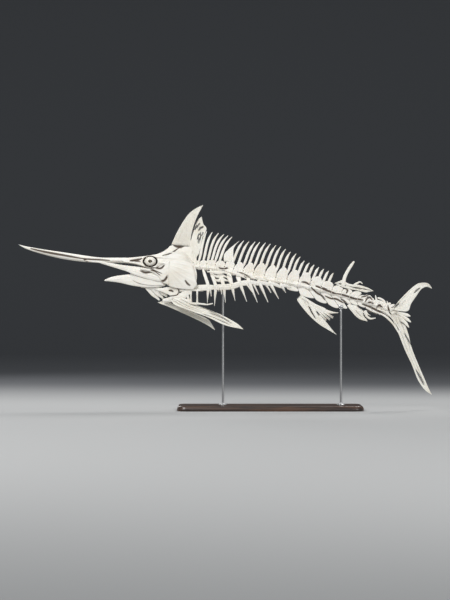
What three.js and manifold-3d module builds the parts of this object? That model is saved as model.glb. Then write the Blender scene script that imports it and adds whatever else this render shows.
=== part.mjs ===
// The skeleton of a blue marlin, life-size, held in a swimming pose on a plain display stand.
// Millimetres, +Z up. The head points to -X and the tail to +X, and the fish's left side faces -Y.
// The origin is on the floor, half way between the tip of the bill and the tips of the tail.
import * as THREE from "three";
import { mergeVertices } from "three/addons/utils/BufferGeometryUtils.js";
import Module from "manifold-3d";

const wasm = await Module();
wasm.setup();

// ---- Driving dimensions ----

const GAP = 0.3; // free space between bones that meet
const SIDES = [
  ["left", -1],
  ["right", 1],
];

// The line through the middle of the backbone, [x, z], from the back of the skull to the tail fork.
const BACKBONE = [
  [-256, 1150],
  [-80, 1132],
  [120, 1090],
  [360, 1042],
  [600, 1000],
  [840, 944],
  [1080, 880],
  [1320, 800],
];
const VERTEBRAE = 23; // and a tail plate that stands for the last one
const FIRST_RIB = 2; // the vertebrae that carry the first and the last pair of ribs
const LAST_RIB = 10;
const SPINES = 26; // in the low part of the dorsal fin
const FIRST_SPINE = 52; // how far back the first of them stands
const BROAD_SPINE = 6; // the one as broad as the plate it stands on, counted from 0
const PLATE_THICK = 9; // neural and haemal plates
const TAIL_PLATE_LENGTH = 62;

// ---- Helpers: closed solids from three.js geometry ----

const vec = (x, y, z) => new THREE.Vector3(x, y, z);
const mix = THREE.MathUtils.lerp;

/** Smooth function of one number through [at, value] pairs. */
function profile(...pairs) {
  return (at) => {
    if (at <= pairs[0][0]) return pairs[0][1];
    for (let i = 1; i < pairs.length; i++) {
      const [from, low] = pairs[i - 1];
      const [to, high] = pairs[i];
      if (at <= to) return mix(low, high, (1 - Math.cos((Math.PI * (at - from)) / (to - from))) / 2);
    }
    return pairs.at(-1)[1];
  };
}

/** A smooth curve in the fish's side view, through [x, z] points, at a depth y that may change along it. */
function outline(points, depth = () => 0) {
  const curve = new THREE.CatmullRomCurve3(
    points.map(([x, z]) => vec(x, 0, z)),
    false,
    "centripetal",
  );
  return (t) => curve.getPoint(t).setY(depth(t));
}

/** A closed geometry as a manifold-3d solid, turned outwards where a mapping has turned it round. */
function solid(geometry) {
  const bare = geometry.clone();
  bare.deleteAttribute("normal");
  bare.deleteAttribute("uv");
  const merged = mergeVertices(bare, 1e-3);
  const position = merged.getAttribute("position");
  const triangles = new Uint32Array(merged.index.array);
  const [a, b, c] = [vec(0, 0, 0), vec(0, 0, 0), vec(0, 0, 0)];
  let volume = 0;
  for (let i = 0; i < triangles.length; i += 3) {
    a.fromBufferAttribute(position, triangles[i]);
    b.fromBufferAttribute(position, triangles[i + 1]);
    c.fromBufferAttribute(position, triangles[i + 2]);
    volume += a.dot(b.cross(c));
  }
  if (volume < 0)
    for (let i = 0; i < triangles.length; i += 3)
      [triangles[i + 1], triangles[i + 2]] = [triangles[i + 2], triangles[i + 1]];
  return new wasm.Manifold(
    new wasm.Mesh({
      numProp: 3,
      vertProperties: new Float32Array(position.array),
      triVerts: triangles,
    }),
  );
}

/** Moves each vertex of a geometry with a function of its old place. */
function reshape(geometry, place) {
  const position = geometry.getAttribute("position");
  const [from, to] = [vec(0, 0, 0), vec(0, 0, 0)];
  for (let i = 0; i < position.count; i++) {
    place(from.fromBufferAttribute(position, i), to);
    position.setXYZ(i, to.x, to.y, to.z);
  }
  return solid(geometry);
}

/** Joins solids into one. */
const join = (...parts) => parts.flat().reduce((whole, part) => whole.add(part));

/** Takes from a solid a neighbour and the free space round it. */
function clearOf(part, neighbour) {
  const axes = [vec(GAP, 0, 0), vec(0, GAP, 0), vec(0, 0, GAP)];
  const steps = axes.flatMap((axis) => [axis.toArray(), axis.negate().toArray()]);
  return steps.reduce((left, step) => left.subtract(neighbour.translate(step)), part);
}

/** A skin over stations along a bone: each has a middle, two half axes and their half sizes. */
function loft(stations, sides) {
  const rows = stations.length - 1;
  return reshape(new THREE.CylinderGeometry(1, 1, 1, sides, rows), (p, out) => {
    const { at, across, up, wide, high } = stations[Math.round((0.5 - p.y) * rows)];
    const [x, z] = [p.x * wide, p.z * high];
    out.copy(at).addScaledVector(across, x).addScaledVector(up, z);
  });
}

/** A station of a loft whose section stands upright across the fish. */
const upright = (at, wide, high) => ({ at, across: vec(0, 1, 0), up: vec(0, 0, 1), wide, high });

/** A tapered rod along a curve. Its section is wide across the fish and high in the side view. */
function rod(curve, wide, high, steps = 4, sides = 5) {
  const stations = [];
  for (let i = 0; i <= steps; i++) {
    const t = i / steps;
    const along = curve(Math.min(1, t + 0.02)).sub(curve(Math.max(0, t - 0.02))).normalize();
    const across = vec(0, 1, 0).addScaledVector(along, -along.y).normalize();
    stations.push({ at: curve(t), across, up: across.clone().cross(along), wide: wide(t), high: high(t) });
  }
  return loft(stations, sides);
}

/** A flat fin between its front edge and its rear edge, thick at the root and thin at the tip. */
function blade(front, rear, rootThick, tipThick, steps = 7, sides = 4) {
  const stations = [];
  for (let i = 0; i <= steps; i++) {
    const t = i / steps;
    const up = front(t).sub(rear(t));
    const high = Math.max(up.length() / 2, tipThick / 2);
    stations.push({
      at: front(t).add(rear(t)).multiplyScalar(0.5),
      across: vec(0, 1, 0),
      up: up.length() > 1e-3 ? up.setY(0).normalize() : vec(0, 0, 1),
      wide: mix(rootThick, tipThick, t ** 0.7) / 2,
      high,
    });
  }
  return loft(stations, sides);
}

/** A curved sheet of bone: surface(p, q) is its middle, with p and q from 0 to 1. */
function sheet(surface, thick, columns, rows) {
  const step = 0.02;
  return reshape(new THREE.BoxGeometry(1, 1, 1, columns, 1, rows), (at, out) => {
    const [p, q, side] = [at.x + 0.5, at.z + 0.5, at.y];
    const inwards = (t) => (t > 0.5 ? -step : step);
    const alongP = surface(p + inwards(p), q).sub(surface(p, q)).multiplyScalar(Math.sign(inwards(p)));
    const alongQ = surface(p, q + inwards(q)).sub(surface(p, q)).multiplyScalar(Math.sign(inwards(q)));
    out.copy(surface(p, q)).addScaledVector(alongP.cross(alongQ).normalize(), side * thick);
  });
}

/** The mid surface between an upper and a lower edge in the side view, at a depth that may change over it. */
function between(upper, lower, depth) {
  return (p, q) => upper(p).lerp(lower(p), q).setY(depth(p, q));
}

/** A solid as a named mesh in its own material. */
function bone(name, part, finish) {
  const made = part.getMesh();
  const geometry = new THREE.BufferGeometry()
    .setAttribute("position", new THREE.BufferAttribute(new Float32Array(made.vertProperties), 3))
    .setIndex(new THREE.BufferAttribute(new Uint32Array(made.triVerts), 1));
  geometry.computeVertexNormals();
  const mesh = new THREE.Mesh(geometry, new THREE.MeshStandardMaterial(finish));
  mesh.name = name;
  return mesh;
}

const BONE = { color: 0xece6d8, roughness: 0.55, metalness: 0 };
const FIN_BONE = { color: 0xe6dfcf, roughness: 0.5, metalness: 0 };
const EYE_BONE = { color: 0xf1ecdf, roughness: 0.4, metalness: 0 };
const STEEL = { color: 0x8d8f92, roughness: 0.3, metalness: 1 };
const DARK_WOOD = { color: 0x2b1d14, roughness: 0.45, metalness: 0 };

// ---- The backbone's own frame ----

const backbone = new THREE.CatmullRomCurve3(
  BACKBONE.map(([x, z]) => vec(x, 0, z)),
  false,
  "centripetal",
);
const LENGTH = backbone.getLength();

/** A point by its distance along the backbone, its height above it, and its depth. */
function onBackbone(along, above, y = 0) {
  const share = THREE.MathUtils.clamp(along / LENGTH, 0, 1);
  const tangent = backbone.getTangentAt(share);
  return backbone
    .getPointAt(share)
    .addScaledVector(tangent, along - share * LENGTH)
    .add(vec(-tangent.z * above, y, tangent.x * above));
}

// Sizes along the backbone, by the share of its length.
const centrumRadius = profile([0, 27], [0.3, 27], [0.6, 25], [0.85, 22], [1, 17]);
const neuralTop = profile(
  [0, 48],
  [0.1, 66],
  [0.22, 92],
  [0.34, 122],
  [0.58, 110],
  [0.66, 82],
  [0.76, 60],
  [0.88, 72],
  [1, 54],
);
const haemalDepth = profile(
  [0.5, 58],
  [0.57, 88],
  [0.66, 114],
  [0.71, 104],
  [0.78, 52],
  [0.84, 48],
  [0.91, 76],
  [1, 76],
);
const haemalLean = profile([0.5, 0.5], [0.58, 1.2], [0.74, 1.2], [0.84, 1], [1, 0.3]);
const spineTop = profile(
  [0.04, 288],
  [0.2, 266],
  [0.3, 284],
  [0.38, 280],
  [0.46, 246],
  [0.54, 190],
  [0.62, 168],
  [0.7, 150],
);
const spineLean = profile([0, 0.1], [0.12, 0.2], [0.35, 0.19], [0.7, 0.15]);
const spineSpacing = profile([1, 37], [4, 27], [5, 30], [6.4, 54], [9, 43], [15, 47], [18, 41]); // by number
const ribBulge = profile([0.04, 96], [0.16, 116], [0.28, 108], [0.4, 74], [0.47, 50]);
// Heights of the row of side bones and of the lower ends of the ribs.
const bandZ = profile([0, 986], [0.15, 990], [0.27, 1030], [0.36, 1022], [0.46, 998]);
const ribTipZ = profile(
  [0.04, 858],
  [0.09, 832],
  [0.16, 872],
  [0.3, 858],
  [0.36, 864],
  [0.42, 930],
  [0.48, 958],
);
const ribSweep = profile([0.09, -0.06], [0.14, 0.12], [0.23, 0.37], [0.3, 0.42], [0.42, 0.58]);
const vertebraLength = profile([1, 54], [4, 76], [9, 96], [13, 98], [17, 68], [23, 34]);

/** Where each vertebra starts along the backbone: short ones at both ends, long ones in the middle. */
const starts = [0];
for (let i = 1; i <= VERTEBRAE; i++) starts.push(starts[i - 1] + vertebraLength(i));
const stretch = LENGTH / starts[VERTEBRAE];
starts.forEach((start, i) => (starts[i] = start * stretch));

/** Where each spine of the low dorsal fin stands along the backbone. */
const spinePlaces = [FIRST_SPINE];
for (let i = 1; i < SPINES; i++) spinePlaces.push(spinePlaces[i - 1] + spineSpacing(i));

// ---- Vertebrae, with their plates, ribs and fin spines ----

/** The waisted body of a vertebra. */
function centrum(from, to) {
  const radius = centrumRadius((from + to) / 2 / LENGTH);
  const waist = [1, 0.62, 1];
  const stations = waist.map((share, i) => {
    const at = mix(from + GAP / 2, to - GAP / 2, i / 2);
    const middle = onBackbone(at, 0);
    const up = onBackbone(at, 1).sub(middle);
    return { at: middle, across: vec(0, 1, 0), up, wide: radius * share, high: radius * share };
  });
  return loft(stations, 6);
}

/** A thin plate with a rounded end, above (sign 1) or below (sign -1) a vertebra, leaning back. */
function plate(from, to, reach, lean, sign) {
  const length = to - from;
  const radius = centrumRadius((from + to) / 2 / LENGTH);
  const drop = sign > 0 && reach > 88 ? 0.3 : 0.16; // how far the corners of the rounded end fall short
  const crown = [0.05, 0.3, 0.7, 0.95].map((p) => [p, reach * (1 - drop * Math.abs(2 * p - 1) ** 3)]);
  const neck = (p) => (sign < 0 ? [[p, radius]] : []); // a leaning plate starts to lean clear of the centrum
  const points = [[0.12, radius * 0.4], ...neck(0.1), ...crown, ...neck(0.9), [0.88, radius * 0.4]];
  const shape = new THREE.Shape(points.map(([p, out]) => new THREE.Vector2(from + p * length, out)));
  const slab = new THREE.ExtrudeGeometry(shape, { depth: PLATE_THICK, bevelEnabled: false });
  return reshape(slab, (p, out) => {
    const back = lean(p.x / LENGTH) * Math.max(0, p.y - radius);
    out.copy(onBackbone(p.x + back, sign * p.y, p.z - PLATE_THICK / 2));
  });
}

/** One spine of the low dorsal fin with the ray bone under it: a slender double curve that leans back. */
function finSpine(at, broad) {
  const share = at / LENGTH;
  const root = neuralTop(share) * 0.62;
  const reach = (spineTop(share) - root) * (broad ? 0.97 : 1);
  const lean = spineLean(share) * reach;
  const slender = profile([0, 5], [0.3, 8], [0.75, 7.5], [1, 3.5]);
  const spread = profile([0, 14], [0.3, 29], [0.55, 27], [0.8, 11], [1, 3.5]);
  return rod(
    (t) => onBackbone(at + lean * t ** 3, root + reach * t),
    profile([0, 4.5], [0.6, 4.5], [1, 2.5]),
    broad ? spread : slender,
    broad ? 4 : 3,
    broad ? 4 : 3,
  );
}

/** The path of a rib, and where it crosses the row of side bones. */
function ribPath(index, sign) {
  const middle = (starts[index - 1] + starts[index]) / 2;
  const share = middle / LENGTH;
  const bulge = ribBulge(share);
  const root = onBackbone(middle, -0.4 * centrumRadius(share), sign * 0.25 * centrumRadius(share));
  const band = vec(root.x + 0.3 * (root.z - bandZ(share)), sign * bulge, bandZ(share));
  const sweep = ribSweep(share) * (band.z - ribTipZ(share));
  const tip = vec(band.x + sweep, sign * (bulge - 20), ribTipZ(share));
  const shoulder = vec(mix(root.x, band.x, 0.35), sign * bulge * 0.76, mix(root.z, band.z, 0.35));
  const flank = band.clone().lerp(tip, 0.5).setY(sign * bulge);
  const curve = new THREE.CatmullRomCurve3([root, shoulder, band, flank, tip]);
  return { curve: (t) => curve.getPoint(t), band };
}

/** A rib and the side bone that sweeps back from it towards the next rib. */
function rib(index, sign) {
  const { curve, band } = ribPath(index, sign);
  const next = index < LAST_RIB ? ribPath(index + 1, sign).band : band.clone().add(vec(70, -sign * 16, 0));
  const dip = profile([FIRST_RIB, 0], [5, 0], [7, 16], [LAST_RIB, 20])(index);
  const ahead = index === FIRST_RIB ? -1.3 : -0.04;
  const depth = profile([FIRST_RIB, 25], [5, 25], [8, 16], [LAST_RIB, 12])(index);
  const root = profile([FIRST_RIB, 12], [5, 20], [8, 12], [LAST_RIB, 9])(index);
  const drop = (t) => dip * t * t + depth * 0.3;
  const sweep = (t) =>
    band.clone().lerp(next, mix(ahead, 0.97, t)).add(vec(0, sign * mix(2, 12, t), -drop(t)));
  return join(
    rod(curve, profile([0, 6], [0.5, 5], [1, 2.5]), profile([0, 8], [0.25, root], [0.5, 13], [1, 2]), 4, 4),
    rod(sweep, profile([0, 6], [1, 4]), profile([0, depth * 1.2], [1, depth * 0.75]), 1, 3),
  );
}

/** One vertebra, numbered from the skull. */
function vertebra(index) {
  const [from, to] = [starts[index - 1], starts[index]];
  const share = (from + to) / 2 / LENGTH;
  const parts = [centrum(from, to), plate(from, to, neuralTop(share), () => 0.1, 1)];
  if (index > LAST_RIB) parts.push(plate(from, to, haemalDepth(share), haemalLean, -1));
  if (index >= FIRST_RIB && index <= LAST_RIB) parts.push(...SIDES.map(([, sign]) => rib(index, sign)));
  spinePlaces.forEach((at, number) => {
    const broad = number === BROAD_SPINE;
    const margin = broad ? 0.24 : 0.15; // a spine stands clear of the ends of its vertebra
    const onPlate = THREE.MathUtils.clamp(at, mix(from, to, margin), mix(to, from, margin));
    if (at >= from && at < to) parts.push(finSpine(onPlate, broad));
  });
  return join(parts);
}

// ---- Head ----

// Skull and bill: [x, z of the middle, half width, half height].
const SKULL = [
  [-1656, 1326, 2, 2],
  [-1600, 1302, 9, 10],
  [-1480, 1271, 19, 19],
  [-1320, 1239, 27, 27],
  [-1160, 1215, 32, 27],
  [-1000, 1199, 36, 22],
  [-860, 1198, 46, 21],
  [-740, 1194, 66, 26],
  [-640, 1186, 84, 46],
  [-540, 1180, 94, 68],
  [-420, 1182, 98, 84],
  [-330, 1174, 84, 84],
  [-285, 1160, 52, 54],
];
const EYE = { x: -596, y: 60, z: 1188, radius: 49, wall: 5, pupil: 18, flat: 0.66, room: 8 };
const CREST = { front: [-580, 1236], peak: [-432, 1318], back: [-286, 1307], foot: [-266, 1200], thick: 10 };

/** Points of a flattened circle, [distance from the axis, height], between two angles from the pole. */
function arc(radius, steps, from, to) {
  return Array.from({ length: steps + 1 }, (_, i) => {
    const angle = mix(from, to, i / steps);
    return new THREE.Vector2(Math.max(0, Math.sin(angle) * radius), Math.cos(angle) * radius * EYE.flat);
  });
}

/** Spins a profile about the line across the fish through an eye. */
function aboutEye(sign, points) {
  return reshape(new THREE.LatheGeometry(points, 8), (p, out) =>
    out.set(EYE.x + p.x, sign * (EYE.y + p.y), EYE.z + p.z),
  );
}

/** A cup of bone round each eyeball, open at the pupil. */
function eyeCup(sign) {
  const opening = Math.asin(EYE.pupil / EYE.radius);
  const inside = EYE.radius - EYE.wall;
  return aboutEye(sign, [...arc(EYE.radius, 4, Math.PI, opening), ...arc(inside, 3, opening * 1.1, Math.PI)]);
}

/** The hollow in the skull that an eye cup sits in. */
function orbit(sign) {
  const room = EYE.radius + EYE.room;
  const mouth = [new THREE.Vector2(room + 4, EYE.radius), new THREE.Vector2(0, EYE.radius)];
  return aboutEye(sign, [...arc(room, 3, Math.PI, Math.PI / 2), ...mouth]);
}

/** The skull with its bill and the crest that the fin's first bones stand on. */
function skull() {
  const stations = SKULL.map(([x, z, wide, high]) => upright(vec(x, 0, z), wide, high));
  const end = onBackbone(-GAP, 0);
  const radius = centrumRadius(0);
  const up = onBackbone(-GAP, 1).sub(end);
  stations.push({ at: end, across: vec(0, 1, 0), up, wide: radius, high: radius });
  const shape = new THREE.Shape();
  shape.moveTo(...CREST.front);
  shape.quadraticCurveTo(-492, 1266, ...CREST.peak);
  shape.lineTo(...CREST.back);
  shape.lineTo(...CREST.foot);
  shape.lineTo(-420, 1170);
  const slab = new THREE.ExtrudeGeometry(shape, {
    depth: CREST.thick,
    bevelEnabled: false,
    curveSegments: 4,
  });
  const crest = reshape(slab, (p, out) => out.set(p.x, p.z - CREST.thick / 2, p.y));
  const whole = join(loft(stations, 9), crest);
  return SIDES.reduce((left, [, sign]) => left.subtract(orbit(sign)), whole);
}

/** The upper jaw strip along each side of the mouth, from the root of the bill to the jaw joint. */
function upperJaw(sign) {
  const upper = outline([
    [-990, 1180],
    [-920, 1176],
    [-840, 1162],
    [-760, 1152],
    [-680, 1142],
    [-600, 1124],
    [-540, 1096],
    [-496, 1040],
  ]);
  const lower = outline([
    [-990, 1174],
    [-920, 1152],
    [-840, 1126],
    [-784, 1108],
    [-716, 1078],
    [-620, 1050],
    [-550, 1034],
    [-496, 1028],
  ]);
  const depth = profile([0, 30], [0.3, 50], [0.6, 78], [1, 100]);
  return sheet(between(upper, lower, (p) => sign * depth(p)), 9, 7, 1);
}

/** The lower jaw: two branches that meet at its tip. */
function lowerJaw() {
  const rows = [
    [-966, 1036, 9, 4],
    [-920, 1044, 11, 16],
    [-840, 1047, 10, 30],
    [-728, 1038, 9, 46],
    [-600, 1016, 8, 36],
    [-520, 1012, 9, 28],
    [-476, 1010, 9, 16],
  ];
  const spread = profile([-966, 4], [-920, 9], [-728, 44], [-520, 74], [-476, 80]);
  const branch = (sign) =>
    loft(rows.map(([x, z, wide, high]) => upright(vec(x, sign * spread(x), z), wide, high)), 5);
  return join(SIDES.map(([, sign]) => branch(sign)));
}

/** The cheek: the bones from below the eye back to the ridge in front of the gill cover. */
function cheek(sign) {
  const upper = outline([
    [-672, 1130],
    [-620, 1130],
    [-560, 1130],
    [-510, 1146],
    [-460, 1190],
  ]);
  const lower = outline([
    [-668, 1124],
    [-590, 1106],
    [-536, 1074],
    [-500, 1024],
    [-468, 1006],
  ]);
  const depth = profile([0, 92], [0.5, 106], [1, 112]);
  return sheet(between(upper, lower, (p) => sign * depth(p)), 7, 5, 2);
}

/** The gill cover: a broad, domed sheet behind the cheek. */
function gillCover(sign) {
  const upper = outline([
    [-456, 1192],
    [-400, 1200],
    [-330, 1194],
    [-262, 1168],
  ]);
  const lower = outline([
    [-464, 1002],
    [-430, 984],
    [-350, 968],
    [-262, 962],
  ]);
  const rear = profile([0, -262], [0.45, -240], [0.8, -226], [1, -250]);
  const surface = (p, q) => {
    const point = upper(p).lerp(lower(p), q);
    const dome = Math.sin(Math.PI * mix(0.15, 0.85, q));
    return point.setX(point.x + (rear(q) + 262) * p).setY(sign * (98 + 24 * dome - 12 * p * p));
  };
  return sheet(surface, 6, 3, 4);
}

/** The tongue bar and the throat rays under each gill cover. */
function throat(sign) {
  const bar = outline(
    [
      [-676, 990],
      [-612, 980],
      [-560, 972],
      [-496, 968],
    ],
    (t) => sign * mix(24, 66, t),
  );
  const rays = [0, 1, 2].map((k) => {
    const root = bar(0.24 + 0.3 * k);
    const tip = vec(-524 + 30 * k, sign * (26 + 10 * k), 877 + 14 * k);
    const bend = root.clone().lerp(tip, 0.5).add(vec(4, sign * 12, 4));
    const curve = new THREE.QuadraticBezierCurve3(root, bend, tip);
    const high = profile([0, 14], [0.5, 19], [1, 7]);
    return rod((t) => curve.getPoint(t), profile([0, 4], [1, 2.5]), high, 2, 3);
  });
  return join(rod(bar, () => 5, profile([0, 9], [0.6, 14], [1, 10]), 3, 4), rays);
}

// ---- Shoulder and paired fins ----

/** The shoulder girdle of one side: a bent beam, the round boss of the fin's joint and the bars behind it. */
function shoulder(sign) {
  const depth = 84;
  const girdle = outline(
    [
      [-256, 1172],
      [-244, 1080],
      [-270, 984],
      [-336, 914],
      [-424, 886],
      [-500, 878],
    ],
    profile([0, sign * 66], [0.25, sign * depth], [0.7, sign * depth], [1, sign * 54]),
  );
  const beside = () => sign * depth;
  const boss = reshape(new THREE.CylinderGeometry(47, 47, 9, 9), (p, out) =>
    out.set(-412 + p.x, sign * depth + p.y, 952 + p.z),
  );
  const beam = (points, high, steps, sides = 3) =>
    rod(outline(points, beside), () => 4.5, high, steps, sides);
  const bars = [-272, -222].map((x) => beam([[x, 956], [x, 848]], () => 7, 1));
  return join(
    rod(girdle, profile([0, 5], [0.5, 7], [1, 6]), profile([0, 12], [0.3, 22], [0.7, 30], [1, 12]), 5, 4),
    boss,
    beam([[-548, 964], [-480, 958], [-412, 950]], profile([0, 8], [1, 38]), 2, 4), // a blade before the boss
    beam([[-376, 956], [-320, 952], [-296, 904], [-288, 852]], () => 11, 3), // and an arch behind it
    beam([[-304, 854], [-208, 850], [-140, 844], [-96, 852]], profile([0, 9], [1, 6]), 2),
    beam([[-266, 958], [-170, 956]], () => 8, 1),
    bars,
  );
}

/** The long breast fin, swept back and down. */
function pectoralFin(sign) {
  const spread = (t) => sign * mix(104, 178, t);
  const lower = outline(
    [
      [-430, 884],
      [-412, 852],
      [-280, 796],
      [-140, 746],
      [0, 682],
      [144, 648],
    ],
    spread,
  );
  const upper = outline(
    [
      [-412, 894],
      [-328, 894],
      [-240, 848],
      [-120, 800],
      [0, 744],
      [104, 684],
      [144, 650],
    ],
    spread,
  );
  return blade(lower, upper, 22, 4, 8);
}

/** The slender belly fin with its share of the hip bone. */
function pelvicFin(sign) {
  const spread = (t) => sign * mix(16, 50, t);
  const lower = outline(
    [
      [-540, 860],
      [-440, 824],
      [-280, 750],
      [-136, 678],
      [-80, 640],
    ],
    spread,
  );
  const upper = outline(
    [
      [-496, 874],
      [-400, 840],
      [-280, 788],
      [-200, 756],
      [-136, 722],
      [-80, 642],
    ],
    spread,
  );
  return blade(lower, upper, 14, 4, 7);
}

// ---- Fins on the midline ----

/** The tall front lobe of the dorsal fin, the rays behind it and the nape bones that carry them. */
function dorsalLobe() {
  const front = outline([
    [-430, 1320],
    [-384, 1420],
    [-328, 1516],
    [-280, 1578],
    [-216, 1622],
    [-176, 1640],
  ]);
  const rear = outline([
    [-284, 1309],
    [-276, 1368],
    [-264, 1432],
    [-240, 1508],
    [-212, 1572],
    [-176, 1638],
  ]);
  const nape = blade(
    outline([[-290, 1342], [-212, 1296]]),
    outline([[-262, 1226], [-212, 1230]]),
    13,
    9,
    1,
  );
  const tips = [
    [-222, 1534],
    [-188, 1552],
    [-176, 1502],
    [-172, 1446],
  ];
  const rays = tips.map((tip, k) => {
    const root = [-262 + 10 * k, 1270 - 6 * k];
    const bend = [mix(root[0], tip[0], 0.3), mix(root[1], tip[1], 0.56)];
    const high = profile([0, 11], [0.7, 18], [1, 5]);
    return rod(outline([root, bend, tip]), profile([0, 6], [1, 2.5]), high, 2, 3);
  });
  return join(blade(front, rear, 26, 5, 8), nape, rays);
}

/** A point just above (side 1) or below (side -1) the plates of the backbone. */
function overPlates(along, side) {
  const share = along / LENGTH;
  if (side > 0) return onBackbone(along, neuralTop(share) + 1.5);
  const depth = haemalDepth(share) + 4;
  return onBackbone(along + haemalLean(share) * (depth - centrumRadius(share)), -depth);
}

/** The second dorsal fin: one stout upright spine and the rays that trail behind it. */
function secondDorsalFin() {
  const [from, to] = [starts[14] + 4, starts[18] - 10];
  const seat = (t) => overPlates(mix(from, to, t), 1);
  const top = outline([
    [896, 990],
    [918, 1018],
    [948, 1038],
    [976, 1010],
    [1010, 1002],
    [1064, 1000],
    [1130, 982],
    [1190, 952],
  ]);
  const spine = rod(
    outline([
      [944, 990],
      [958, 1062],
      [990, 1126],
      [1034, 1190],
    ]),
    profile([0, 7], [1, 3]),
    profile([0, 18], [0.3, 15], [0.8, 13], [1, 8]),
    3,
    4,
  );
  const trail = outline([[1030, 998], [1060, 1016], [1080, 1024], [1100, 1010]]);
  const curl = rod(trail, () => 3, () => 8, 2, 3);
  return join(blade(top, seat, 12, 4, 6), spine, curl);
}

/** The first anal fin: a pointed blade, a fan of short rays and a trailing curl, below their ray bones. */
function analFin() {
  const carrier = blade(
    outline([[606, 922], [648, 896], [690, 868], [744, 838], [812, 810]]),
    outline([[574, 886], [612, 868], [660, 838], [720, 796], [790, 776]]),
    11,
    9,
    4,
  );
  const main = blade(
    outline([[573, 885], [624, 816], [688, 744], [760, 682], [832, 638], [892, 602]]),
    outline([[684, 860], [728, 798], [776, 740], [820, 690], [858, 642], [892, 604]]),
    14,
    4,
    7,
  );
  const rays = [0, 1, 2].map((k) => {
    const tip = [[812, 718], [840, 722], [866, 738]][k];
    const root = [708 + 20 * k, 834 - 11 * k];
    const bend = [mix(root[0], tip[0], 0.45), mix(root[1], tip[1], 0.5) + 4];
    return rod(outline([root, bend, tip]), () => 3.5, profile([0, 12], [1, 7]), 2, 3);
  });
  const trail = outline([[700, 852], [760, 810], [840, 782], [908, 777]]);
  const curl = rod(trail, () => 4, profile([0, 10], [0.5, 15], [1, 4]), 3, 3);
  return join(carrier, main, rays, curl);
}

/** The second anal fin, short and hooked, under the tail's root. */
function secondAnalFin() {
  const [from, to] = [starts[15] + 8, starts[17] - 8];
  const seat = (t) => overPlates(mix(from, to, t), -1);
  const carrier = blade(seat, outline([[1000, 806], [1040, 770], [1090, 750], [1130, 770]]), 10, 8, 3);
  const main = blade(
    outline([[1000, 810], [1040, 758], [1080, 728], [1138, 709]]),
    outline([[1126, 792], [1132, 756], [1138, 730], [1140, 711]]),
    12,
    4,
    5,
  );
  const trail = outline([[1100, 786], [1128, 744], [1160, 728], [1206, 736]]);
  const curl = rod(trail, () => 4, profile([0, 16], [1, 5]), 3, 3);
  return join(carrier, main, curl);
}

// ---- Tail ----

const TAIL_FROM = starts[VERTEBRAE];

/** The last vertebra, spread into the plate that the tail fin clasps. */
function tailPlate() {
  const start = onBackbone(TAIL_FROM + GAP / 2, 0);
  const up = onBackbone(TAIL_FROM, 1).sub(onBackbone(TAIL_FROM, 0));
  const along = vec(up.z, 0, -up.x);
  const length = TAIL_PLATE_LENGTH;
  const fan = new THREE.Shape(
    [
      [0, -14],
      [0, 16],
      [length * 0.5, 38],
      [length, 44],
      [length, -50],
      [length * 0.5, -44],
    ].map(([x, y]) => new THREE.Vector2(x, y)),
  );
  const slab = new THREE.ExtrudeGeometry(fan, { depth: 10, bevelEnabled: false });
  const spread = reshape(slab, (p, out) =>
    out.set(0, p.z - 5, 0).add(start).addScaledVector(along, p.x).addScaledVector(up, p.y),
  );
  const stub = [0, 0.45].map((t) => {
    const at = start.clone().addScaledVector(along, t * length);
    return { at, across: vec(0, 1, 0), up, wide: mix(17, 4, t), high: mix(17, 8, t) };
  });
  return join(spread, loft(stub, 6));
}

/** The upper lobe of the tail fin, hooked at its tip. */
function upperTail() {
  const front = outline([
    [1334, 812],
    [1400, 882],
    [1480, 962],
    [1544, 1010],
    [1592, 1018],
    [1628, 1010],
    [1656, 974],
  ]);
  const rear = outline([
    [1396, 792],
    [1464, 794],
    [1484, 846],
    [1528, 912],
    [1570, 968],
    [1612, 986],
    [1656, 972],
  ]);
  return blade(front, rear, 26, 5, 9);
}

/** The lower lobe of the tail fin. */
function lowerTail() {
  const front = outline([
    [1338, 718],
    [1392, 600],
    [1440, 480],
    [1496, 360],
    [1544, 240],
    [1600, 160],
    [1652, 122],
  ]);
  const rear = outline([
    [1394, 752],
    [1456, 640],
    [1500, 480],
    [1548, 360],
    [1600, 240],
    [1634, 162],
    [1653, 124],
  ]);
  return blade(front, rear, 26, 5, 9);
}

/** The short rays in the fork of the tail. */
function forkRays() {
  const tips = [
    [1484, 750],
    [1488, 702],
    [1472, 660],
  ];
  return join(
    tips.map((tip, k) => {
      const root = [1398, 774 - 6 * k];
      const bend = [mix(root[0], tip[0], 0.5), mix(root[1], tip[1], 0.44)];
      const high = profile([0, 8], [0.75, 19], [1, 8]);
      return rod(outline([root, bend, tip]), profile([0, 9], [1, 4]), high, 2, 3);
    }),
  );
}

// ---- Stand ----

const BASE = { x: 360, length: 1480, width: 500, thick: 40, corner: 70 };
const ROD = { radius: 9, foot: 34 };
const FRONT_ROD_VERTEBRA = 4; // the front rod holds the joint behind this vertebra
const REAR_FORK = { x: 928, length: 30, grip: 26, wall: 5 };

/** The flat base, with round corners. */
function standBase() {
  const [a, b, r] = [BASE.length / 2, BASE.width / 2, BASE.corner];
  const corners = [
    [a - r, r - b, -0.5],
    [a - r, b - r, 0],
    [r - a, b - r, 0.5],
    [r - a, r - b, 1],
  ];
  const shape = new THREE.Shape();
  for (const [x, y, turn] of corners) shape.absarc(x, y, r, turn * Math.PI, (turn + 0.5) * Math.PI);
  const slab = new THREE.ExtrudeGeometry(shape, { depth: BASE.thick, bevelEnabled: false, curveSegments: 4 });
  return reshape(slab, (p, out) => out.set(p.x + BASE.x, p.y, p.z));
}

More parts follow.
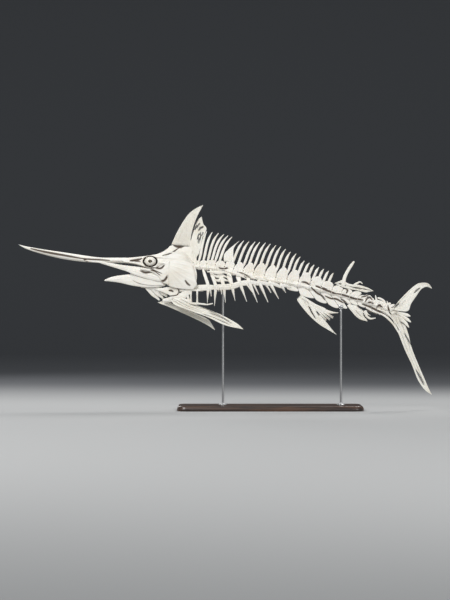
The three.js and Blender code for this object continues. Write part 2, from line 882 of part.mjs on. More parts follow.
/** A round rod with a foot flange, from the base up to a height. */
function standRod(x, top) {
  const foot = BASE.thick + GAP;
  const side = [
    [0, foot],
    [ROD.foot, foot],
    [ROD.foot, foot + 7],
    [ROD.radius + 3, foot + 12],
    [ROD.radius, foot + 16],
    [ROD.radius, top],
    [0, top],
  ].map(([r, z]) => new THREE.Vector2(r, z));
  return reshape(new THREE.LatheGeometry(side, 8), (p, out) => out.set(x + p.z, p.x, p.y));
}

/** The front rod, with a cradle under the joint between two vertebrae. */
function frontRod() {
  const at = starts[FRONT_ROD_VERTEBRA];
  const joint = onBackbone(at, 0);
  const along = backbone.getTangentAt(at / LENGTH);
  const up = vec(-along.z, 0, along.x);
  const radius = centrumRadius(at / LENGTH) + GAP + 0.5;
  const half = new THREE.Shape();
  half.absarc(0, 0, radius + 6, Math.PI, 2 * Math.PI);
  half.absarc(0, 0, radius, 2 * Math.PI, Math.PI, true);
  const length = 22;
  const cradle = new THREE.ExtrudeGeometry(half, { depth: length, bevelEnabled: false, curveSegments: 5 });
  const bent = reshape(cradle, (p, out) =>
    out.set(0, p.x, 0).add(joint).addScaledVector(up, p.y).addScaledVector(along, p.z - length / 2),
  );
  return join(standRod(joint.x - up.x * radius, joint.z - radius - 1.5), bent);
}

/** The rear rod, with a fork round the lower edge of the plates it holds. */
function rearRod(plates) {
  const { x, length, grip, wall } = REAR_FORK;
  const edge = plates.trimByPlane([1, 0, 0], x - length / 2).trimByPlane([-1, 0, 0], -x - length / 2);
  const seat = edge.boundingBox().min[2] - GAP;
  const half = PLATE_THICK / 2 + GAP;
  const box = (long, wide, low, high) =>
    reshape(new THREE.BoxGeometry(long, 2 * wide, high - low), (p, out) =>
      out.set(x + p.x, p.y, p.z + (low + high) / 2),
    );
  const slot = box(2 * length, half, seat, seat + 2 * grip);
  const fork = box(length, half + wall, seat - 8, seat + grip).subtract(slot);
  return join(standRod(x, seat - 4), fork);
}

// ---- Assembly ----

const root = new THREE.Group();
const [head, column, fins, stand] = Array.from({ length: 4 }, () => new THREE.Group());
root.add(head, column, fins, stand);

const vertebrae = Array.from({ length: VERTEBRAE }, (_, i) => vertebra(i + 1));
vertebrae.forEach((part, i) => column.add(bone(`vertebra_${String(i + 1).padStart(2, "0")}`, part, BONE)));
const lastPlate = tailPlate();
column.add(bone("tail_plate", lastPlate, BONE));

head.add(bone("skull_and_bill", skull(), BONE));
head.add(bone("lower_jaw", lowerJaw(), BONE));
for (const [side, sign] of SIDES) {
  head.add(bone(`eye_cup_${side}`, eyeCup(sign), EYE_BONE));
  head.add(bone(`upper_jaw_${side}`, upperJaw(sign), BONE));
  head.add(bone(`cheek_${side}`, cheek(sign), BONE));
  head.add(bone(`gill_cover_${side}`, gillCover(sign), BONE));
  head.add(bone(`throat_${side}`, throat(sign), BONE));
  fins.add(bone(`shoulder_${side}`, shoulder(sign), BONE));
  fins.add(bone(`pectoral_fin_${side}`, pectoralFin(sign), FIN_BONE));
  fins.add(bone(`pelvic_fin_${side}`, pelvicFin(sign), FIN_BONE));
}

fins.add(bone("dorsal_fin_lobe", dorsalLobe(), FIN_BONE));
fins.add(bone("dorsal_fin_second", secondDorsalFin(), FIN_BONE));
fins.add(bone("anal_fin_first", analFin(), FIN_BONE));
fins.add(bone("anal_fin_second", secondAnalFin(), FIN_BONE));
const upperLobe = clearOf(upperTail(), lastPlate);
const lowerLobe = clearOf(lowerTail(), lastPlate);
fins.add(bone("tail_fin_upper", upperLobe, FIN_BONE));
fins.add(bone("tail_fin_lower", lowerLobe, FIN_BONE));
fins.add(bone("tail_fin_fork_rays", forkRays(), FIN_BONE));

stand.add(bone("stand_base", standBase(), DARK_WOOD));
stand.add(bone("stand_rod_front", frontRod(), STEEL));
stand.add(bone("stand_rod_rear", rearRod(join(vertebrae.slice(11, 17))), STEEL));

export default root;
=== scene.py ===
"""The skeleton of a blue marlin on a display stand: its looks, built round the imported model.

Lengths are in millimetres until a mesh is made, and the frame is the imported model's: the bill points
to -X, the tail to +X, the fish's left side faces -Y and the floor is at Z = 0.
"""

import logging
import math
from collections.abc import Callable, Iterable, Sequence
from dataclasses import dataclass, field
from enum import Enum

import bpy
import numpy as np
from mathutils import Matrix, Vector


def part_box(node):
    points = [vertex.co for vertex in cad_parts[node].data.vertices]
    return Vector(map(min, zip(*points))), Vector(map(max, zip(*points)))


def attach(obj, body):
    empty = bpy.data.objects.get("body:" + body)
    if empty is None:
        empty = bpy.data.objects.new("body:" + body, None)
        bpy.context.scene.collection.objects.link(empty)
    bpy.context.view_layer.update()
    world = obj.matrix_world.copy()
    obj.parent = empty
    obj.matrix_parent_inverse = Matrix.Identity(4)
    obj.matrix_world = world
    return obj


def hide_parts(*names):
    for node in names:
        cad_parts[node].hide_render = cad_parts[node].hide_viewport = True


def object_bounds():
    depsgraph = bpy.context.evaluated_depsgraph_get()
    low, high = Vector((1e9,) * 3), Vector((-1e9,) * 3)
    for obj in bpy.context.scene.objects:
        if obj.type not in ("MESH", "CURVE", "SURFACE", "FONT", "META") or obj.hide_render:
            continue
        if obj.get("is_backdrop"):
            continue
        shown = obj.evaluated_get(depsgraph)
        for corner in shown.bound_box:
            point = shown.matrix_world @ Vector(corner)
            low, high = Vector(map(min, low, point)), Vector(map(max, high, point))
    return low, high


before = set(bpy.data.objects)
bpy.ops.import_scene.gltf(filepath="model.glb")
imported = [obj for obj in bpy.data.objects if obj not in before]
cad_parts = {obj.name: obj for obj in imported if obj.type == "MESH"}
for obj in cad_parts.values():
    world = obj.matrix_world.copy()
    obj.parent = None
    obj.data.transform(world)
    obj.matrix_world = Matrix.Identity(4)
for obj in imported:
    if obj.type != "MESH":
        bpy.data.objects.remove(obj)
cad_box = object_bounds()

log = logging.getLogger("marlin")

MM = 0.001
BODY = "root"

Array = np.ndarray
Points = np.ndarray
Number = float | Array
Law = Callable[[Number], Number]
Path = Callable[[Array], Points]
Row = tuple[float, ...]
Line = tuple[Row, ...]
Edges = tuple[Line, Line]
Tree = bpy.types.NodeTree
Socket = bpy.types.NodeSocket
Mesh = bpy.types.Mesh
Object = bpy.types.Object


class Side(Enum):
    """The two sides of the fish, each with the sign of its depth."""

    LEFT = -1
    RIGHT = 1

    @property
    def word(self) -> str:
        """The side's name in lower case, as the nodes write it."""
        return self.name.lower()


# ---- Curves and laws ----


def eased(*pairs: tuple[float, float]) -> Law:
    """Makes a smooth law of one number through (at, value) pairs.

    Args:
        pairs: where the law is known, in rising order.

    Returns:
        A function of a number or an array, flat beyond both ends.
    """
    keys, values = (np.array(column, float) for column in zip(*pairs))

    def value(at: Number) -> Number:
        """The law's value."""
        low = np.clip(np.searchsorted(keys, at, side="right") - 1, 0, len(keys) - 2)
        share = np.clip((at - keys[low]) / (keys[low + 1] - keys[low]), 0, 1)
        return values[low] + (values[low + 1] - values[low]) * (1 - np.cos(np.pi * share)) / 2

    return value


def sloping(root: float, rise: float, sign: int) -> Law:
    """Makes a depth that grows evenly from the root, on the side that the sign gives."""
    return lambda share: sign * (root + rise * share)


def spline(rows: Sequence[Sequence[float]]) -> Callable[[Array], Array]:
    """Makes a smooth law through rows of numbers, by share from 0 to 1 (a centripetal Catmull-Rom spline).

    Args:
        rows: the rows, in order.

    Returns:
        A function from shares to rows.
    """
    given = np.array(rows, float)
    known = np.array([2 * given[0] - given[1], *given, 2 * given[-1] - given[-2]])

    def place(share: Number) -> Array:
        """The row at a share."""
        share = np.clip(np.atleast_1d(np.asarray(share, float)), 0, 1)
        at = share * (len(given) - 1)
        first = np.minimum(at.astype(int), len(given) - 2)
        rest = (at - first)[:, None]
        p0, p1, p2, p3 = (known[first + k] for k in range(4))
        d0, d1, d2 = (np.sqrt(np.linalg.norm(b - a, axis=1))[:, None] for a, b in ((p0, p1), (p1, p2), (p2, p3)))
        m1 = ((p1 - p0) / d0 - (p2 - p0) / (d0 + d1) + (p2 - p1) / d1) * d1
        m2 = ((p2 - p1) / d1 - (p3 - p1) / (d1 + d2) + (p3 - p2) / d2) * d1
        bend = (3 * (p2 - p1) - 2 * m1 - m2) * rest**2 + (2 * (p1 - p2) + m1 + m2) * rest**3
        return p1 + m1 * rest + bend

    return place


def through(points: Sequence[Sequence[float]], depth: Law | float = 0.0) -> Path:
    """Makes a smooth path through points.

    Args:
        points: [x, z] points of the side view or [x, y, z] points in space.
        depth: for a path of the side view, its Y or a law of its share.

    Returns:
        A function from shares to points in space.
    """
    law = spline(points)
    if len(points[0]) == 3:
        return law

    def place(share: Number) -> Points:
        """The points at shares."""
        flat = law(share)
        share = np.atleast_1d(np.asarray(share, float))
        y = depth(share) if callable(depth) else np.full(len(share), float(depth))
        return np.stack([flat[:, 0], y, flat[:, 1]], axis=1)

    return place


def between(upper: Line, lower: Line, depth: Callable[[Array, Array], Array]) -> Callable:
    """The surface between two edges of the side view, at a depth that may change over it.

    Args:
        upper: the upper edge.
        lower: the lower edge.
        depth: its depth at p along and q across.

    Returns:
        A function from p and q to points.
    """
    above, below = through(upper), through(lower)

    def place(p: Array, q: Array) -> Points:
        """The points at p along and q across."""
        points = above(p) * (1 - q)[:, None] + below(p) * q[:, None]
        points[:, 1] = depth(p, q)
        return points

    return place


def ridge(turns: Array) -> Array:
    """The height of a row of rounded ridges, from 0 to 1, one to each turn."""
    return np.clip(np.cos(2 * np.pi * turns), 0, 1)


@dataclass
class Backbone:
    """The line through the middles of the vertebrae, and the laws that size what grows from it."""

    middles: Line = (
        (-256, 1150), (-80, 1132), (120, 1090), (360, 1042), (600, 1000), (840, 944), (1080, 880), (1320, 800)
    )
    vertebrae: int = 23
    first_rib: int = 2
    last_rib: int = 10
    spine_count: int = 26
    first_spine: float = 52.0
    broad_spine: int = 6
    fineness: int = 4001
    tangent_step: float = 4.0
    radius: Law = eased((0, 27), (0.3, 27), (0.6, 25), (0.85, 22), (1, 17))
    neural_top: Law = eased(
        (0, 48), (0.1, 66), (0.22, 92), (0.34, 122), (0.58, 110), (0.66, 82), (0.76, 60), (0.88, 72), (1, 54)
    )
    haemal_depth: Law = eased(
        (0.5, 58), (0.57, 88), (0.66, 114), (0.71, 104), (0.78, 52), (0.84, 48), (0.9, 72), (0.95, 64), (1, 60)
    )
    haemal_lean: Law = eased((0.5, 0.5), (0.58, 1.2), (0.74, 1.2), (0.84, 1), (1, 0.3))
    spine_top: Law = eased(
        (0.04, 288), (0.2, 266), (0.3, 284), (0.38, 280), (0.46, 246), (0.54, 190), (0.62, 168), (0.7, 150)
    )
    spine_lean: Law = eased((0, 0.1), (0.12, 0.2), (0.35, 0.19), (0.7, 0.15))
    spine_gap: Law = eased((1, 37), (4, 27), (5, 30), (6.4, 54), (9, 43), (15, 47), (18, 41))
    vertebra_gap: Law = eased((1, 54), (4, 76), (9, 96), (13, 98), (17, 68), (23, 34))
    rib_bulge: Law = eased((0.04, 96), (0.16, 116), (0.28, 108), (0.4, 74), (0.47, 50))
    band_z: Law = eased((0, 986), (0.15, 990), (0.27, 1030), (0.36, 1022), (0.46, 998))
    rib_tip_z: Law = eased(
        (0.04, 858), (0.09, 832), (0.16, 872), (0.3, 858), (0.36, 864), (0.42, 930), (0.48, 958)
    )
    rib_sweep: Law = eased((0.09, -0.06), (0.14, 0.12), (0.23, 0.37), (0.3, 0.42), (0.42, 0.58))

    def __post_init__(self) -> None:
        """Measures the line and sets out the vertebrae and the spines along it."""
        fine = through(self.middles)(np.linspace(0, 1, self.fineness))
        run = np.r_[0, np.cumsum(np.linalg.norm(np.diff(fine, axis=0), axis=1))]
        self.length = float(run[-1])
        self.run, self.fine = run, fine
        starts = np.r_[0, np.cumsum(self.vertebra_gap(np.arange(1.0, self.vertebrae + 1)))]
        self.starts = starts * self.length / starts[-1]
        self.spines = self.first_spine + np.r_[0, np.cumsum(self.spine_gap(np.arange(1.0, self.spine_count)))]

    def point(self, along: Number, above: Number = 0.0, y: Number = 0.0) -> Points:
        """Places points by distance along the backbone, height above it and depth.

        Args:
            along: distances from the back of the skull.
            above: heights above the backbone, square to it.
            y: depths.

        Returns:
            One row for each point.
        """
        along, above, y = np.broadcast_arrays(*(np.atleast_1d(np.asarray(v, float)) for v in (along, above, y)))
        inside = np.clip(along, 0, self.length)
        middle = self.on_line(inside)
        tangent = self.tangent(inside)
        normal = np.stack([-tangent[:, 2], np.zeros(len(inside)), tangent[:, 0]], axis=1)
        offset = np.stack([np.zeros(len(inside)), y, np.zeros(len(inside))], axis=1)
        return middle + tangent * (along - inside)[:, None] + normal * above[:, None] + offset

    def tangent(self, along: Array) -> Points:
        """The backbone's direction at distances along it.

        Args:
            along: the distances.

        Returns:
            A unit vector for each.
        """
        ahead, behind = (np.clip(along + step, 0, self.length) for step in (self.tangent_step, -self.tangent_step))
        step = self.on_line(ahead) - self.on_line(behind)
        return step / np.linalg.norm(step, axis=1, keepdims=True)

    def on_line(self, along: Array) -> Points:
        """The points of the line at distances along it."""
        return np.stack([np.interp(along, self.run, self.fine[:, k]) for k in range(3)], axis=1)


# ---- Node graphs ----


@dataclass(frozen=True)
class Graph:
    """Adds nodes to a node tree and links them as it goes."""

    tree: Tree

    def add(self, kind: str, inputs: dict[str | int, object] | None = None, **settings: object) -> bpy.types.Node:
        """Adds a node.

        Args:
            kind: the node's type name.
            inputs: for each input, a socket to link or a constant to set.
            settings: the node's own properties.

        Returns:
            The new node.
        """
        node = self.tree.nodes.new(kind)
        for key, value in settings.items():
            setattr(node, key, value)
        self.feed(node, inputs or {})
        return node

    def feed(self, node: bpy.types.Node, inputs: dict[str | int, object]) -> None:
        """Links or sets inputs of a node.

        Args:
            node: the node.
            inputs: for each input, a socket to link or a constant to set.
        """
        for key, value in inputs.items():
            if isinstance(value, Socket):
                self.tree.links.new(value, node.inputs[key])
            else:
                node.inputs[key].default_value = value

    def maths(self, operation: str, a: object, b: object = 0.0, **settings: object) -> Socket:
        """Adds a Math node and returns its result."""
        return self.add("ShaderNodeMath", {0: a, 1: b}, operation=operation, **settings).outputs[0]

    def vector(self, operation: str, a: object, b: object = (0.0, 0.0, 0.0)) -> Socket:
        """Adds a Vector Math node and returns its result."""
        return self.add("ShaderNodeVectorMath", {0: a, 1: b}, operation=operation).outputs[0]

    def scaled(self, vector: Socket, by: object) -> Socket:
        """Scales a vector by a number."""
        return self.add("ShaderNodeVectorMath", {0: vector, "Scale": by}, operation="SCALE").outputs[0]

    def ramp(self, value: Socket, low: float, high: float) -> Socket:
        """Maps a value from low..high to 0..1, softly and clamped."""
        inputs = {"Value": value, "From Min": low, "From Max": high}
        return self.add("ShaderNodeMapRange", inputs, interpolation_type="SMOOTHSTEP").outputs[0]

    def noise(self, place: Socket, scale: float, detail: float, **more: float) -> Socket:
        """Adds a Noise Texture node and returns its value."""
        inputs = {"Vector": place, "Scale": scale, "Detail": detail, **more}
        return self.add("ShaderNodeTexNoise", inputs).outputs[0]

    def bump(self, height: Socket, strength: float, distance: float) -> Socket:
        """Adds a Bump node and returns its normal."""
        return self.add("ShaderNodeBump", {"Height": height, "Strength": strength, "Distance": distance}).outputs[0]

    def blend(self, share: object, a: object, b: object) -> Socket:
        """Mixes two colours."""
        return self.add("ShaderNodeMix", {0: share, 6: a, 7: b}, data_type="RGBA").outputs[2]


def new_group(name: str, kind: str, inputs: Iterable[tuple], outputs: Iterable[tuple[str, str]]) -> Graph:
    """Starts a node group with named sockets.

    Args:
        name: the group's name.
        kind: GeometryNodeTree or ShaderNodeTree.
        inputs: (name, socket type) or (name, socket type, default).
        outputs: (name, socket type).

    Returns:
        A graph of the empty group.
    """
    tree = bpy.data.node_groups.new(name, kind)
    for socket_name, socket_type, *default in inputs:
        socket = tree.interface.new_socket(socket_name, in_out="INPUT", socket_type=f"NodeSocket{socket_type}")
        if default:
            socket.default_value = default[0]
    for socket_name, socket_type in outputs:
        tree.interface.new_socket(socket_name, in_out="OUTPUT", socket_type=f"NodeSocket{socket_type}")
    return Graph(tree)


def show(name: str, data: bpy.types.ID) -> Object:
    """Puts a new object with some data in the scene.

    Args:
        name: the object's name.
        data: its mesh, light or camera.

    Returns:
        The object.
    """
    obj = bpy.data.objects.new(name, data)
    bpy.context.scene.collection.objects.link(obj)
    return obj


def apply_group(obj: Object, group: Tree, values: dict[str, object]) -> Mesh:
    """Runs a Geometry Nodes group on an object and returns the plain mesh it makes.

    Args:
        obj: the object, which keeps its own mesh.
        group: the Geometry Nodes group.
        values: a value for each named input.

    Returns:
        A new mesh.
    """
    modifier = obj.modifiers.new(group.name, "NODES")
    modifier.node_group = group
    for item in group.interface.items_tree:
        if item.item_type == "SOCKET" and item.in_out == "INPUT" and item.name in values:
            modifier[item.identifier] = values[item.name]
    obj.update_tag()
    made = plain_mesh(obj)
    obj.modifiers.remove(modifier)
    return made


def plain_mesh(obj: Object) -> Mesh:
    """The mesh an object shows with its modifiers, as plain data.

    Args:
        obj: the object.

    Returns:
        A new mesh.
    """
    graph = bpy.context.evaluated_depsgraph_get()
    graph.update()
    return bpy.data.meshes.new_from_object(obj.evaluated_get(graph), preserve_all_data_layers=True, depsgraph=graph)


# ---- Shells: closed surfaces held as arrays ----


@dataclass
class Shell:
    """One or more closed surfaces: points in metres, faces, and each point's grain coordinate."""

    points: Points
    corners: Array
    counts: Array
    grain: Points | None = None

    def mesh(self, name: str) -> Mesh:
        """Makes a mesh of the shell, shaded smooth.

        Args:
            name: the mesh's name.

        Returns:
            The mesh.
        """
        mesh = bpy.data.meshes.new(name)
        mesh.vertices.add(len(self.points))
        mesh.vertices.foreach_set("co", np.ascontiguousarray(self.points, np.float32).ravel())
        mesh.loops.add(len(self.corners))
        mesh.loops.foreach_set("vertex_index", self.corners.astype(np.int32))
        mesh.polygons.add(len(self.counts))
        mesh.polygons.foreach_set("loop_start", np.r_[0, np.cumsum(self.counts)[:-1]].astype(np.int32))
        mesh.update(calc_edges=True)
        write(mesh, "grain", self.points if self.grain is None else self.grain)
        mesh.shade_smooth()
        return mesh

    @staticmethod
    def of(mesh: Mesh) -> "Shell":
        """Reads a mesh back into arrays.

        Args:
            mesh: the mesh.

        Returns:
            The shell.
        """
        layer = mesh.attributes.get("grain")
        grain = read(layer.data, "vector", 3) if layer else None
        corners = read(mesh.loops, "vertex_index", 1, np.int32)
        return Shell(coordinates(mesh), corners, read(mesh.polygons, "loop_total", 1, np.int32), grain)


def read(rows: bpy.types.bpy_prop_collection, name: str, width: int, kind: type = np.float32) -> Array:
    """Reads one property of a mesh's rows.

    Args:
        rows: the mesh's points, edges, corners or faces, or an attribute's data.
        name: the property.
        width: how many numbers each row has.
        kind: the type of the numbers.

    Returns:
        The numbers, one row for each where they are more than one wide.
    """
    flat = np.zeros(len(rows) * width, kind)
    rows.foreach_get(name, flat)
    return flat.reshape(-1, width) if width > 1 else flat


def write(mesh: Mesh, name: str, rows: Array) -> None:
    """Stores a number or a vector on each point of a mesh.

    Args:
        mesh: the mesh.
        name: the new attribute's name.
        rows: the numbers or vectors.
    """
    kind, key = ("FLOAT", "value") if rows.ndim == 1 else ("FLOAT_VECTOR", "vector")
    layer = mesh.attributes.new(name, kind, "POINT")
    layer.data.foreach_set(key, np.ascontiguousarray(rows, np.float32).ravel())


def coordinates(mesh: Mesh) -> Points:
    """A mesh's points as rows."""
    return read(mesh.vertices, "co", 3).astype(float)


def normals(mesh: Mesh) -> Points:
    """A mesh's point normals as rows."""
    return read(mesh.vertex_normals, "vector", 3).astype(float)


def pile(*shells: Shell) -> Shell:
    """Puts several shells into one.

    Args:
        shells: the shells.

    Returns:
        The joined shell.
    """
    offsets = np.r_[0, np.cumsum([len(s.points) for s in shells])[:-1]]
    grains = [s.points if s.grain is None else s.grain for s in shells]
    return Shell(
        np.concatenate([s.points for s in shells]),
        np.concatenate([s.corners + offset for s, offset in zip(shells, offsets)]),
        np.concatenate([s.counts for s in shells]),
        np.concatenate(grains),
    )


def outward(shell: Shell) -> Shell:
    """Turns all faces of a shell round if they look inwards.

    Args:
        shell: the shell.

    Returns:
        The shell, with its faces outwards.
    """
    starts = np.r_[0, np.cumsum(shell.counts)[:-1]]
    a = shell.points[shell.corners[starts]]
    volume = 0.0
    for k in range(1, int(shell.counts.max()) - 1):
        some = shell.counts > k + 1
        b = shell.points[shell.corners[starts[some] + k]]
        c = shell.points[shell.corners[starts[some] + k + 1]]
        volume += float(np.einsum("ij,ij->", a[some], np.cross(b, c)))
    if volume >= 0:
        return shell
    turned = [part[::-1] for part in np.split(shell.corners, starts[1:])]
    return Shell(shell.points, np.concatenate(turned), shell.counts, shell.grain)


def skin(rings: Points) -> Shell:
    """Skins a stack of closed rings and closes both ends.

    Args:
        rings: points in millimetres, shaped (rings, points in a ring, 3).

    Returns:
        The closed shell.
    """
    rows, sides, _ = rings.shape
    points = np.concatenate([rings.reshape(-1, 3), rings[:1].mean(axis=1), rings[-1:].mean(axis=1)]) * MM
    i, j = np.meshgrid(np.arange(rows - 1), np.arange(sides), indexing="ij")
    k = (j + 1) % sides
    quads = np.stack([i * sides + j, i * sides + k, (i + 1) * sides + k, (i + 1) * sides + j], axis=-1).reshape(-1, 4)
    around = np.arange(sides)
    beside = (around + 1) % sides
    low, high = rows * sides, rows * sides + 1
    first = np.stack([np.full(sides, low), beside, around], axis=1)
    last = np.stack([np.full(sides, high), (rows - 1) * sides + around, (rows - 1) * sides + beside], axis=1)
    corners = np.concatenate([quads.ravel(), first.ravel(), last.ravel()])
    counts = np.concatenate([np.full(len(quads), 4), np.full(2 * sides, 3)])
    return outward(Shell(points, corners, counts))


def loft(middle: Points, wide: Array, high: Array, sides: int, square: float) -> Shell:
    """Skins a row of rounded, upright sections.

    Args:
        middle: the sections' middles.
        wide: half widths.
        high: half heights.
        sides: points round each section.
        square: 2 for ellipses, more for squarer sections.

    Returns:
        The closed shell.
    """
    turn = np.linspace(0, 2 * np.pi, sides, endpoint=False)
    x = np.sign(np.cos(turn)) * np.abs(np.cos(turn)) ** (2 / square)
    z = np.sign(np.sin(turn)) * np.abs(np.sin(turn)) ** (2 / square)
    rings = np.repeat(middle[:, None, :], sides, axis=1)
    rings[..., 1] += x * wide[:, None]
    rings[..., 2] += z * high[:, None]
    return skin(rings)


def sheet(
    surface: Callable[[Array, Array], Points],
    thick: float,
    columns: int,
    rows: int,
    ripple: Callable[[Array, Array], Array] | None = None,
    rim: float = 0.35,
) -> Shell:
    """Makes a curved sheet of bone that thins towards its rounded edges.

    Args:
        surface: the middle surface, from shares p and q to points.
        thick: the thickness away from the edges.
        columns: steps along p.
        rows: steps along q.
        ripple: extra height of the outer face, from p and q.
        rim: the share of the thickness that is left at the edges.

    Returns:
        The closed shell.
    """
    p, q = (g.ravel() for g in np.meshgrid(np.linspace(0, 1, columns + 1), np.linspace(0, 1, rows + 1), indexing="ij"))
    step, rounded = 0.01, 3
    middle = surface(p, q)
    along_p = surface(np.minimum(p + step, 1), q) - surface(np.maximum(p - step, 0), q)
    along_q = surface(p, np.minimum(q + step, 1)) - surface(p, np.maximum(q - step, 0))
    normal = np.cross(along_p, along_q)
    normal /= np.linalg.norm(normal, axis=1, keepdims=True) + 1e-12
    edge = np.minimum(np.minimum(p, 1 - p) * columns, np.minimum(q, 1 - q) * rows)
    half = thick / 2 * (rim + (1 - rim) * np.sqrt(np.clip(edge / rounded, 0, 1)))
    extra = ripple(p, q) if ripple else 0.0
    outer = np.sign(np.round(normal[:, 1] * middle[:, 1], 6))
    up_half = half + np.where(outer >= 0, extra, 0)
    down_half = half + np.where(outer <= 0, extra, 0)
    points = np.concatenate([middle + normal * up_half[:, None], middle - normal * down_half[:, None]]) * MM
    size, stride = (columns + 1) * (rows + 1), rows + 1
    i, j = np.meshgrid(np.arange(columns), np.arange(rows), indexing="ij")
    quad = np.stack([i * stride + j, (i + 1) * stride + j, (i + 1) * stride + j + 1, i * stride + j + 1], axis=-1)
    top = quad.reshape(-1, 4)
    low, high = np.arange(columns) * stride, np.arange(columns) * stride + rows
    near, far = np.arange(rows), columns * stride + np.arange(rows)
    rims = [(low, low + stride), (high + stride, high), (near + 1, near), (far, far + 1)]
    walls = [np.stack([b, a, a + size, b + size], axis=1) for a, b in rims]
    faces = np.concatenate([top, top[:, ::-1] + size, *walls])
    return outward(Shell(points, faces.ravel(), np.full(len(faces), 4)))


# ---- Strands: slender bones and rays, swept with Geometry Nodes ----


@dataclass(frozen=True)
class Strand:
    """A slender bone: its path, and its half sizes across the fish and in the side view."""

    path: Points
    wide: Array
    high: Array

    def frames(self) -> tuple[Points, Points]:
        """The directions of the half sizes along the path.

        Returns:
            The directions across the fish and in the side view.
        """
        along = np.gradient(self.path, axis=0)
        along /= np.linalg.norm(along, axis=1, keepdims=True) + 1e-9
        across = np.array([0.0, 1.0, 0.0]) - along * along[:, 1:2]
        across /= np.linalg.norm(across, axis=1, keepdims=True) + 1e-9
        return across, np.cross(across, along)


def strand(
    path: Points | Path | Line, wide: Law | float, high: Law | float, steps: int = 18, blunt: float = 0.0
) -> Strand:
    """Makes a strand.

    Args:
        path: points, a function of shares, or a line to pass through smoothly.
        wide: half size across the fish, or its law by share.
        high: half size in the side view, or its law by share.
        steps: points along the path where it is a function.
        blunt: the share at each end over which it rounds off.

    Returns:
        The strand.
    """
    path = through(path) if isinstance(path, tuple) else path
    share = np.linspace(0, 1, steps if callable(path) else len(path))
    if blunt:
        near_end = np.array([0.15, 0.4, 0.75]) * blunt
        share = np.unique(np.r_[share, near_end, 1 - near_end])
    if callable(path):
        points = path(share)
    else:
        even = np.linspace(0, 1, len(path))
        points = np.stack([np.interp(share, even, path[:, k]) for k in range(3)], axis=1)
    sizes = [law(share) if callable(law) else np.full(len(share), float(law)) for law in (wide, high)]
    if blunt:
        end = np.clip(np.minimum(share, 1 - share) / blunt, 0, 1)
        sizes = [size * (0.12 + 0.88 * np.sqrt(1 - (1 - end) ** 2)) for size in sizes]
    return Strand(points, sizes[0], sizes[1])


def fan(
    front: Path | Line,
    rear: Path | Line,
    rays: int,
    thick: tuple[float, float],
    steps: int = 26,
    gaps: Sequence[int] = (),
    slit: float = 0.5,
    clasp: float = 0.0,
    slots: Sequence["Mark"] = (),
) -> list[Strand]:
    """Fills a fin between two edges with rays that lie side by side.

    Args:
        front: the front edge, from root to tip, as a path or as points to pass through.
        rear: the rear edge, from root to tip.
        rays: how many rays.
        thick: the fin's thickness at its root and its tip.
        steps: points along each ray.
        gaps: rays that leave a dark line behind them.
        slit: how much of such a ray's height is left.
        clasp: how far the two halves of each ray part at the root, to hold a plate between them.
        slots: openings, inside which the rays shrink to threads.

    Returns:
        The rays.
    """
    t = np.linspace(0, 1, steps)
    ahead, behind = (edge(t) if callable(edge) else through(edge)(t) for edge in (front, rear))
    chord = np.linalg.norm(ahead - behind, axis=1)
    overlap, closed, clasp_end = 1.12, 0.88, 0.3
    made = []
    for ray in range(rays):
        share = (ray + 0.5) / rays
        path = behind + (ahead - behind) * share
        streamline = 0.45 + 0.55 * math.sin(math.pi * (0.12 + 0.76 * share)) ** 0.7
        wide = (thick[0] + (thick[1] - thick[0]) * t**0.7) / 2 * streamline
        high = chord / (2 * rays) * overlap
        if ray in gaps:
            open_part = np.clip((t - 0.06) / 0.1, 0, 1) * np.clip((0.9 - t) / 0.15, 0, 1)
            high = high * (1 - (1 - slit) * open_part)
        for slot in slots:
            high = high * (1 - closed * slot.reach(path))
        high = high * np.sqrt(np.clip(np.minimum(t, 1 - t) * chord.max() / 5 + 0.15, 0, 1))
        wide, high = np.maximum(wide, 0.6), np.maximum(high, 0.5)
        if not clasp:
            made.append(Strand(path, wide, high))
            continue
        part = clasp * np.clip(1 - t / clasp_end, 0, 1) ** 1.5
        for side in Side:
            half = path + np.stack([0 * t, side.value * (part + wide * 0.45), 0 * t], axis=1)
            made.append(Strand(half, wide * 0.55, high))
    return made


